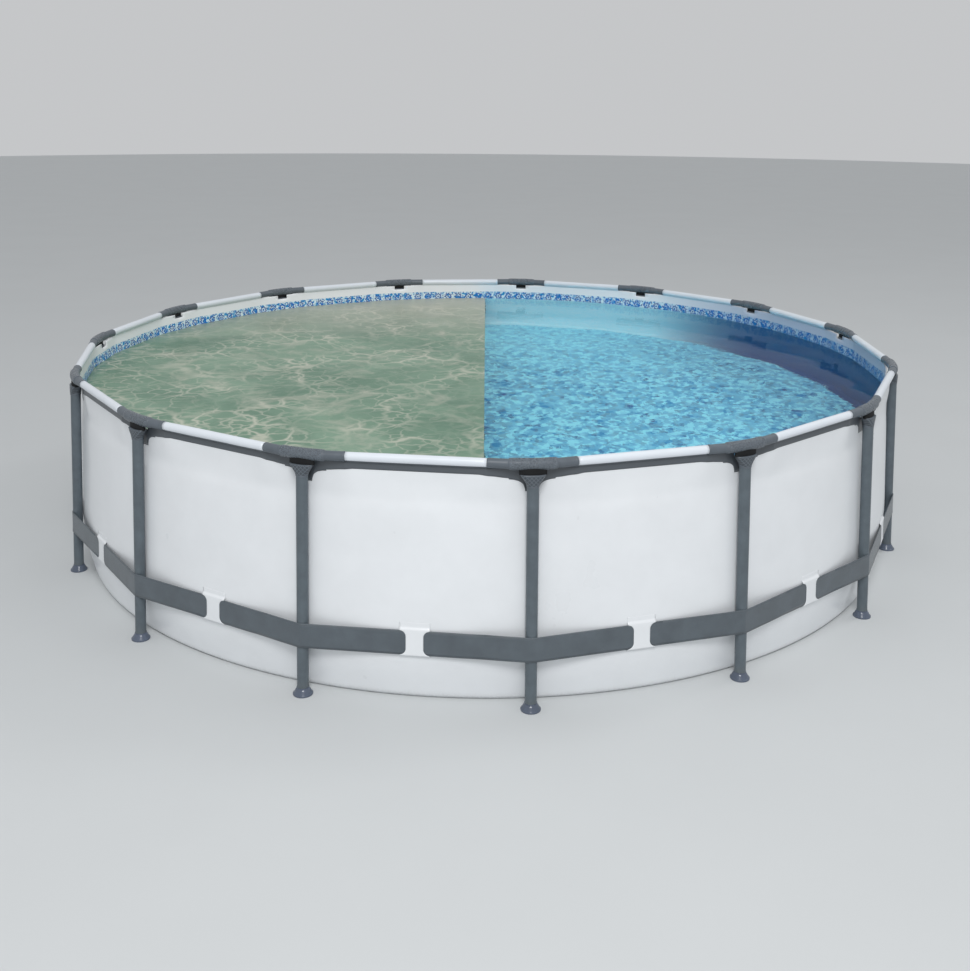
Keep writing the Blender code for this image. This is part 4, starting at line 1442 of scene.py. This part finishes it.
class POOL_OT_sleeves(bpy.types.Operator):
    """Add the sleeve round each rail, pinched down to its weld"""

    bl_idname = "pool.sleeves"
    bl_label = "Rail sleeves"

    def execute(self, context):
        steel = context.scene.pool_steel
        liner = context.scene.pool_liner
        half = sleeve_half_length(steel)
        radius = liner.sleeve_diameter / 2.0
        finish = sleeve_finish(context.scene.pool_colours, radius)
        steps = 36
        for index in range(BAYS):
            bm = bmesh.new()
            bmesh.ops.create_circle(bm, segments=36, radius=radius, cap_ends=False)
            bmesh.ops.translate(bm, verts=bm.verts, vec=(0.0, 0.0, -half))
            edges = bm.edges[:]
            for _ in range(steps):
                edges, source = sweep(bm, edges)
                bmesh.ops.translate(bm, verts=list(source), vec=(0.0, 0.0, 2.0 * half / steps))
            bmesh.ops.recalc_face_normals(bm, faces=bm.faces)
            wrap_uv(bm, radius)
            for vert in bm.verts:
                self.crease(vert, index, half, radius, liner.sleeve_pinch)
            face_outwards(bm)
            lie_down = Matrix(((0, 1, 0, APOTHEM), (0, 0, 1, 0), (1, 0, 0, RAIL_HEIGHT), (0, 0, 0, 1)))
            bm.transform(bay_turn(index) @ lie_down)
            mesh = baked(bm, f"rail_sleeve_{index + 1:02d}", [finish], 60.0)
            piece = add_piece(mesh.name, mesh)
            thicken(piece, liner.sleeve_thickness, -1.0)
        return {"FINISHED"}

    @staticmethod
    def crease(vert, index, half, radius, pinch):
        """Local X is up and local Z runs along the rail."""
        along = vert.co.z
        around = math.atan2(vert.co.y, -vert.co.x)
        spot = Vector((around * 1.2, along * 9.0, index * 7.3))
        wave = noise.noise(spot, noise_basis="PERLIN_ORIGINAL") * 0.0005
        near_end = math.exp(-(((half - abs(along)) / 0.05) ** 2))
        wave -= 0.0007 * near_end * (0.5 + 0.5 * math.sin(around * 9.0 + index))
        vert.co.xy *= 1.0 + wave / radius
        narrow = math.exp(-((around / 0.42) ** 2))
        vert.co.x -= pinch * narrow
        vert.co.y *= 1.0 - 0.55 * narrow


def belt_radius(height, steel, liner):
    """Inner face of the belt half-way between two legs."""
    return leg_axis_radius(height, steel) * math.cos(HALF_BAY) + steel.leg_diameter / 2.0 + 0.0005


class POOL_OT_loops(bpy.types.Operator):
    """Add the waisted loops that hold the belt to the wall"""

    bl_idname = "pool.loops"
    bl_label = "Belt loops"

    def execute(self, context):
        steel = context.scene.pool_steel
        liner = context.scene.pool_liner
        profile = wall_profile(steel)
        low = BELT_LOW - 0.0135
        high = BELT_HIGH + 0.033
        bm = bmesh.new()
        bmesh.ops.create_grid(bm, x_segments=16, y_segments=56, size=1.0)
        for vert in bm.verts:
            share, up = vert.co.x, (vert.co.y + 1.0) / 2.0
            height = low + (high - low) * up
            half_width = self.half_width(height, liner)
            y = share * half_width
            on_wall = math.sqrt(profile_radius(profile, height) ** 2 - y * y) + 0.0004
            over_belt = belt_radius(height, steel, liner) + liner.belt_thickness + 0.0006
            lift = smooth_step(height, BELT_LOW - 0.010, BELT_LOW - 0.001)
            lift *= 1.0 - smooth_step(height, BELT_HIGH + 0.001, BELT_HIGH + 0.014)
            vert.co = Vector((on_wall + (over_belt - on_wall) * lift, y, height))
        bmesh.ops.recalc_face_normals(bm, faces=bm.faces)
        if sum(face.normal.x for face in bm.faces) < 0.0:
            bmesh.ops.reverse_faces(bm, faces=bm.faces)
        plane_uv(bm, lambda spot: (spot.y, spot.z))
        finish = coated_fabric_finish("loop_coating", context.scene.pool_colours.liner, 0.26)
        mesh = baked(bm, "belt_loop", [finish], 60.0)
        for piece in add_ring("belt_loop", mesh, Matrix.Identity(4), bay_turn):
            thicken(piece, liner.loop_thickness, 1.0)
        return {"FINISHED"}

    @staticmethod
    def half_width(height, liner):
        """Wide at the welds and narrow over the belt, with round inner corners."""
        corner = liner.loop_width - liner.loop_waist
        inside = min(height - BELT_LOW, BELT_HIGH - height)
        if inside <= 0.0:
            return liner.loop_width
        if inside >= corner:
            return liner.loop_waist
        return liner.loop_waist + corner - math.sqrt(corner**2 - (corner - inside) ** 2)


class POOL_OT_belt(bpy.types.Operator):
    """Add the woven belt, which wraps each leg and runs straight to the next"""

    bl_idname = "pool.belt"
    bl_label = "Belt"

    def execute(self, context):
        steel = context.scene.pool_steel
        liner = context.scene.pool_liner
        bends, runs, levels = 8, 10, 8
        per_bay = bends + runs
        bm = bmesh.new()
        bmesh.ops.create_circle(bm, segments=BAYS * per_bay, radius=1.0, cap_ends=False)
        step = 2.0 * math.pi / (BAYS * per_bay)
        edges = bm.edges[:]
        rows = [bm.verts[:]]
        for _ in range(levels):
            edges, source = sweep(bm, edges)
            rows.append(list(source))
        for level, row in enumerate(rows):
            share = level / levels
            height = BELT_LOW + (BELT_HIGH - BELT_LOW) * share
            for vert in row:
                place = round(math.atan2(vert.co.y, vert.co.x) % (2.0 * math.pi) / step)
                spot = self.path(place, per_bay, bends, height, steel)
                edge_roll = 0.0005 * (2.0 * share - 1.0) ** 4
                spot.xy *= 1.0 + edge_roll / spot.xy.length
                vert.co = spot
        face_outwards(bm)
        wrap_uv(bm, RING_RADIUS)
        mesh = baked(bm, "belt_webbing", [webbing_finish(context.scene.pool_colours)])
        belt = add_piece("belt_webbing", mesh, replaces=("belt",))
        thicken(belt, liner.belt_thickness, 1.0)
        return {"FINISHED"}

    @staticmethod
    def path(place, per_bay, bends, height, steel):
        """A point on the belt's inner face: round a leg, then straight to the next."""
        station, step = divmod(place, per_bay)
        wrap = steel.leg_diameter / 2.0 + 0.0005
        axis = leg_axis_radius(height, steel)

        def on_leg(index, bend):
            local = Vector((axis + wrap * math.cos(bend), wrap * math.sin(bend), height))
            return station_turn(index) @ local

        if step <= bends:
            return on_leg(station, (2.0 * step / bends - 1.0) * HALF_BAY)
        share = (step - bends) / (per_bay - bends)
        return on_leg(station, HALF_BAY).lerp(on_leg(station + 1, -HALF_BAY), share)


class POOL_OT_floor(bpy.types.Operator):
    """Add the printed floor sheet"""

    bl_idname = "pool.floor"
    bl_label = "Floor sheet"

    def execute(self, context):
        rings = 14
        edge = FLOOR_RADIUS - 0.0008
        top = [(edge * step / rings, 0.003) for step in range(rings + 1)]
        outline = top + [(edge, 0.0006), (0.0, 0.0006)]
        bm = turn_outline(outline, 120)
        plane_uv(bm, lambda spot: (spot.x, spot.y))
        mesh = baked(bm, "floor_sheet", [floor_finish(context.scene.pool_colours)])
        floor = add_piece("floor_sheet", mesh, replaces=("liner_floor",))
        return {"FINISHED"}


# ------------------------------------------------------------------ water
def ripple_waves(count=26):
    """Seeded waves of (direction, wave number, share of the height, phase)."""
    shuffle = random.Random(SEED)
    waves = []
    for step in range(count):
        span = 0.16 * 1.085**step
        heading = shuffle.uniform(0.0, 2.0 * math.pi)
        share = (span / 1.2) ** 1.1
        waves.append((heading, 2.0 * math.pi / span, share, shuffle.uniform(0.0, 6.28)))
    return waves


def ripple(spot, waves, height):
    total = 0.0
    for heading, number, share, phase in waves:
        along = spot.x * math.cos(heading) + spot.y * math.sin(heading)
        total += share * math.sin(number * along + phase)
    return height * total / 2.2


def water_body(context, side, rows_across, depths):
    """Half of the pool's water: a rippled top, and sides through (depth, radius) rows.

    side is 1 for the half clockwise of the dividing plane and -1 for the other.  A row with
    no radius follows the wall, just inside its fabric.
    """
    steel = context.scene.pool_steel
    liner = context.scene.pool_liner
    water = context.scene.pool_water
    profile = wall_profile(steel)
    waves = ripple_waves()
    bm = bmesh.new()
    bmesh.ops.create_grid(bm, x_segments=2 * rows_across, y_segments=rows_across, size=1.0)
    ahead = math.pi / 2.0 - water.split
    sink = liner.wall_thickness - SPLIT_SINK

    def rim_radius(bearing, height):
        return facet_radius(bearing, height, profile, steel) - sink

    for vert in bm.verts:
        along, off = vert.co.x, (vert.co.y + 1.0) / 2.0
        x = along * math.sqrt(1.0 - off * off / 2.0)
        y = off * math.sqrt(1.0 - along * along / 2.0)
        reach = math.hypot(x, y)
        bearing = ahead - side * math.atan2(y, x) if reach else ahead
        vert.co = polar(bearing, reach * rim_radius(bearing, water.level), water.level)
        vert.co.z += ripple(vert.co, waves, water.ripple)
    edges = [edge for edge in bm.edges if edge.is_boundary]
    top_rim = {vert for edge in edges for vert in edge.verts}
    full = {}
    for vert in top_rim:
        bearing = math.atan2(vert.co.y, vert.co.x)
        full[vert] = vert.co.xy.length / rim_radius(bearing, water.level)
    for depth, inset in depths:
        edges, source = sweep(bm, edges)
        for vert, above in source.items():
            full[vert] = full[above]
            bearing = math.atan2(vert.co.y, vert.co.x)
            height = max(water.level - depth, 0.0015)
            radius = inset if inset else rim_radius(bearing, height)
            vert.co = polar(bearing, full[vert] * radius, height)
    bmesh.ops.edgeloop_fill(bm, edges=edges)
    bmesh.ops.recalc_face_normals(bm, faces=bm.faces)
    return bm


class POOL_OT_murky_water(bpy.types.Operator):
    """Add the cloudy half of the water"""

    bl_idname = "pool.murky_water"
    bl_label = "Cloudy water"

    def execute(self, context):
        water = context.scene.pool_water
        rim = water.murky_rim
        inset = water.murky_radius
        depths = [(rim * 0.5, 0.0), (rim, 0.0), (rim + 0.001, inset), (water.level - 0.02, inset)]
        bm = water_body(context, -1, 110, depths)
        mesh = baked(bm, "water_cloudy", [murky_water_finish(context.scene.pool_colours)])
        add_piece("water_cloudy", mesh)
        return {"FINISHED"}


class POOL_OT_clear_water(bpy.types.Operator):
    """Add the clear half of the water"""

    bl_idname = "pool.clear_water"
    bl_label = "Clear water"

    def execute(self, context):
        water = context.scene.pool_water
        low, high = HEM_HEIGHT + 0.004, water.level - 0.004
        rows = [spot.y for spot in wall_profile(context.scene.pool_steel)[::-2]]
        depths = [(water.level - row, 0.0) for row in rows if low < row < high]
        depths.append((water.level, 0.0))
        bm = water_body(context, 1, 120, depths)
        mesh = baked(bm, "water_clear", [clear_water_finish()])
        add_piece("water_clear", mesh)
        return {"FINISHED"}


# ------------------------------------------------------------------ wall fittings
def outward_place(centre, outward):
    """Puts a piece modelled along +Z on a fitting's axis, with its X level."""
    across = Vector((0.0, 0.0, 1.0)).cross(outward).normalized()
    turn = Matrix((across, outward.cross(across), outward)).transposed()
    return Matrix.Translation(centre) @ turn.to_4x4()


def add_turned(name, corners, segments, finish, place, slot, body=MAIN_BODY, closed=True, shape=None):
    """A turned piece on a fitting's axis; shape(vert) may move its points first."""
    bm = turn_outline(rounded_outline(corners, 3), segments, closed)
    if shape:
        for vert in bm.verts:
            shape(vert)
    wrap_uv(bm, 0.03)
    bm.transform(place)
    return add_piece(name + "_moulding", baked(bm, name, [finish]), body, (name,))


def lobes(count, depth, beyond, low, high):
    """Rule that presses grip lobes into the outer skin of a turned piece."""

    def move(vert):
        reach = vert.co.xy.length
        if reach > beyond and low < vert.co.z < high:
            around = math.atan2(vert.co.y, vert.co.x)
            dip = depth * smooth_step(math.cos(around * count), -0.2, 0.7)
            vert.co.xy *= (reach - dip) / reach

    return move


def threads(root, crest, start, pitch, rises, fillet):
    """Outline corners of five raised threads; rises are up to, along and down from a crest."""
    corners = []
    for turn in range(5):
        base = start + turn * pitch
        up, across, down = (base + rise for rise in rises)
        corners += [(root, base, 0.0003), (crest, up, fillet), (crest, across, fillet)]
        corners.append((root, down, 0.0003))
    return corners


class POOL_OT_ports(bpy.types.Operator):
    """Add the hose fittings with their gaskets, nuts and stoppers"""

    bl_idname = "pool.ports"
    bl_label = "Hose fittings"

    def execute(self, context):
        colours = context.scene.pool_colours
        plastic = moulded_finish("fitting_plastic", colours.fitting)
        rubber = rubber_finish(colours)
        places = port_places()
        for name in ("inlet", "outlet"):
            place = outward_place(*places[name])
            self.add_body(f"{name}_fitting", plastic, place)
            gasket = [
                (PORT_HOLE, 0.0018, 0.0),
                (PORT_HOLE, 0.0038, 0.0),
                (0.0400, 0.0038, 0.0006),
                (0.0400, 0.0018, 0.0006),
            ]
            add_turned(f"{name}_gasket", gasket, 48, rubber, place, "rubber_black")
            nut = [
                (PORT_HOLE, 0.0042, 0.0),
                (PORT_HOLE, 0.0180, 0.0),
                (0.0330, 0.0180, 0.001),
                (0.0355, 0.0170, 0.001),
                (0.0410, 0.0150, 0.0015),
                (0.0410, 0.0050, 0.001),
                (0.0400, 0.0041, 0.0005),
            ]
            grip = lobes(8, 0.0045, 0.034, 0.0042, 0.02)
            add_turned(f"{name}_nut", nut, 96, plastic, place, "fitting_grey", shape=grip)
            self.add_stopper(f"{name}_stopper", rubber, place)
        return {"FINISHED"}

    @staticmethod
    def add_body(name, finish, place):
        """Flanged tube with raised threads and a rolled end."""
        corners = [
            (0.0215, 0.060, 0.0),
            (0.0215, -0.0058, 0.0006),
            (0.0450, -0.0058, 0.0012),
            (0.0450, -0.0018, 0.0008),
            (0.0247, -0.0017, 0.0),
            (0.0247, 0.0195, 0.0),
        ]
        corners += threads(0.0247, 0.0255, 0.021, 0.0055, (0.0012, 0.0026, 0.0038), 0.0004)
        corners += [(0.0247, 0.0525, 0.0), (0.0255, 0.0545, 0.0006), (0.0255, 0.0600, 0.0006)]
        add_turned(name, corners, 64, finish, place, "fitting_grey")

    @staticmethod
    def add_stopper(name, finish, place):
        """Ribbed plug with a flange and a waisted pull knob."""
        corners = [(0.0, 0.0299, 0.0), (0.0195, 0.0299, 0.0015)]
        for rib in range(3):
            top = 0.026 - rib * 0.009
            corners += [(0.0200, top, 0.0008), (0.0210, top - 0.002, 0.0008)]
            corners.append((0.0196, top - 0.004, 0.0008))
        corners += [
            (0.0196, -0.0061, 0.0004),
            (0.0340, -0.0061, 0.0008),
            (0.0340, -0.0091, 0.0008),
            (0.0120, -0.0095, 0.002),
            (0.0052, -0.0130, 0.002),
            (0.0052, -0.0170, 0.002),
            (0.0080, -0.0190, 0.002),
            (0.0080, -0.0231, 0.002),
            (0.0, -0.0231, 0.0),
        ]
        add_turned(name, corners, 56, finish, place, "rubber_black", body=name, closed=False)


class POOL_OT_drain(bpy.types.Operator):
    """Add the drain valve: its body, inner plug and ribbed screw cap"""

    bl_idname = "pool.drain"
    bl_label = "Drain valve"

    def execute(self, context):
        finish = moulded_finish("valve_plastic", context.scene.pool_colours.valve, gloss=0.36)
        place = outward_place(*port_places()["drain"])
        body = [
            (0.0115, 0.035, 0.0),
            (0.0115, -0.0048, 0.0005),
            (0.0320, -0.0048, 0.0010),
            (0.0320, -0.0018, 0.0006),
            (0.0152, -0.0017, 0.0),
        ]
        body += threads(0.0152, 0.0160, 0.008, 0.005, (0.0012, 0.0024, 0.0034), 0.0003)
        body.append((0.0152, 0.035, 0.0005))
        add_turned("drain_body", body, 48, finish, place, "fitting_white")
        plug = [
            (0.0, 0.0188, 0.0),
            (0.0104, 0.0188, 0.0010),
            (0.0111, 0.0160, 0.0006),
            (0.0106, 0.0080, 0.0004),
            (0.0111, 0.0020, 0.0004),
            (0.0106, -0.0051, 0.0003),
            (0.0200, -0.0051, 0.0006),
            (0.0200, -0.0081, 0.0010),
            (0.0090, -0.0081, 0.0010),
            (0.0060, -0.0070, 0.0010),
            (0.0, -0.0068, 0.0),
        ]
        white = "fitting_white"
        add_turned("drain_plug", plug, 48, finish, place, white, body="drain_plug", closed=False)
        cap = [
            (0.0, 0.0390, 0.0),
            (0.0150, 0.0393, 0.0),
            (0.0190, 0.0393, 0.0012),
            (0.0207, 0.0375, 0.0010),
            (0.0207, 0.0075, 0.0008),
            (0.0200, 0.0060, 0.0006),
            (DRAIN_HOLE, 0.0060, 0.0004),
            (DRAIN_HOLE, 0.0353, 0.0004),
            (0.0, 0.0353, 0.0),
        ]
        grip = lobes(24, 0.0008, 0.0195, 0.009, 0.037)
        on_cap = {"body": "drain_cap", "closed": False, "shape": grip}
        add_turned("drain_cap", cap, 144, finish, place, white, **on_cap)
        return {"FINISHED"}


# ------------------------------------------------------------------ stage
CAMERA_SPOT = (-0.5645, -6.493, 2.443)
CAMERA_HEADING = math.radians(5.04)
CAMERA_DIP = math.radians(19.19)
CAMERA_ROLL = math.radians(0.466)
CAMERA_LENS = 42.35


class POOL_OT_stage(bpy.types.Operator):
    """Add the studio floor, the lights and the camera"""

    bl_idname = "pool.stage"
    bl_label = "Studio"

    def execute(self, context):
        scene = context.scene
        scene.view_settings.view_transform = "Standard"
        bm = bmesh.new()
        bmesh.ops.create_circle(bm, cap_ends=True, segments=96, radius=40.0)
        mesh = baked(bm, "studio_floor", [plain_finish("studio_floor", scene.pool_colours.ground, 0.85)])
        floor = bpy.data.objects.new("studio_floor", mesh)
        scene.collection.objects.link(floor)
        self.add_world(scene)
        self.add_lamp(scene, "key_light", (-0.6, -8.4, 8.2), 3.5, 470.0)
        self.add_lamp(scene, "side_light", (7.5, 1.5, 9.5), 3.0, 110.0)
        camera = bpy.data.cameras.new("view")
        camera.lens = CAMERA_LENS
        camera.clip_end = 200.0
        holder = bpy.data.objects.new("view", camera)
        turn = Matrix.Rotation(-CAMERA_HEADING, 4, "Z")
        tip = Matrix.Rotation(math.pi / 2.0 - CAMERA_DIP, 4, "X")
        roll = Matrix.Rotation(CAMERA_ROLL, 4, "Z")
        holder.matrix_world = Matrix.Translation(CAMERA_SPOT) @ turn @ tip @ roll
        scene.collection.objects.link(holder)
        scene.camera = holder
        return {"FINISHED"}

    @staticmethod
    def add_world(scene):
        world = bpy.data.worlds.new("soft_sky")
        world.use_nodes = True
        background = world.node_tree.nodes["Background"]
        background.inputs["Color"].default_value = (0.965, 0.98, 1.0, 1.0)
        background.inputs["Strength"].default_value = 0.58
        scene.world = world

    @staticmethod
    def add_lamp(scene, name, spot, size, power):
        lamp = bpy.data.lights.new(name, "AREA")
        lamp.shape = "DISK"
        lamp.size = size
        lamp.energy = power
        holder = bpy.data.objects.new(name, lamp)
        holder.location = spot
        aim = Vector((0.0, 0.0, 0.4)) - Vector(spot)
        holder.rotation_euler = aim.to_track_quat("-Z", "Y").to_euler()
        scene.collection.objects.link(holder)


# ------------------------------------------------------------------ add-on
OPERATORS = (
    POOL_OT_stage,
    POOL_OT_legs,
    POOL_OT_feet,
    POOL_OT_connectors,
    POOL_OT_rails,
    POOL_OT_wall,
    POOL_OT_strip,
    POOL_OT_sleeves,
    POOL_OT_belt,
    POOL_OT_loops,
    POOL_OT_floor,
    POOL_OT_murky_water,
    POOL_OT_clear_water,
    POOL_OT_ports,
    POOL_OT_drain,
)
GROUPS = (
    ("pool_steel", PoolSteel),
    ("pool_liner", PoolLiner),
    ("pool_water", PoolWater),
    ("pool_colours", PoolColours),
)


class POOL_PT_panel(bpy.types.Panel):
    """Buttons for the pool's pieces"""

    bl_label = "Frame Pool"
    bl_idname = "POOL_PT_panel"
    bl_space_type = "VIEW_3D"
    bl_region_type = "UI"
    bl_category = "Pool"

    def draw(self, context):
        for operator in OPERATORS:
            self.layout.operator(operator.bl_idname)
        for name, group in GROUPS:
            box = self.layout.box()
            box.label(text=group.__doc__)
            for key in group.__annotations__:
                box.prop(getattr(context.scene, name), key)


def register():
    for name, group in GROUPS:
        bpy.utils.register_class(group)
        setattr(bpy.types.Scene, name, bpy.props.PointerProperty(type=group))
    for operator in OPERATORS:
        bpy.utils.register_class(operator)
    bpy.utils.register_class(POOL_PT_panel)


def unregister():
    bpy.utils.unregister_class(POOL_PT_panel)
    for operator in reversed(OPERATORS):
        bpy.utils.unregister_class(operator)
    for name, group in reversed(GROUPS):
        delattr(bpy.types.Scene, name)
        bpy.utils.unregister_class(group)


def corners(box):
    return [list(corner) for corner in box]


def main():
    register()
    make_effects()
    for operator in OPERATORS:
        family, name = operator.bl_idname.split(".")
        getattr(getattr(bpy.ops, family), name)()


if __name__ == "__main__":
    main()
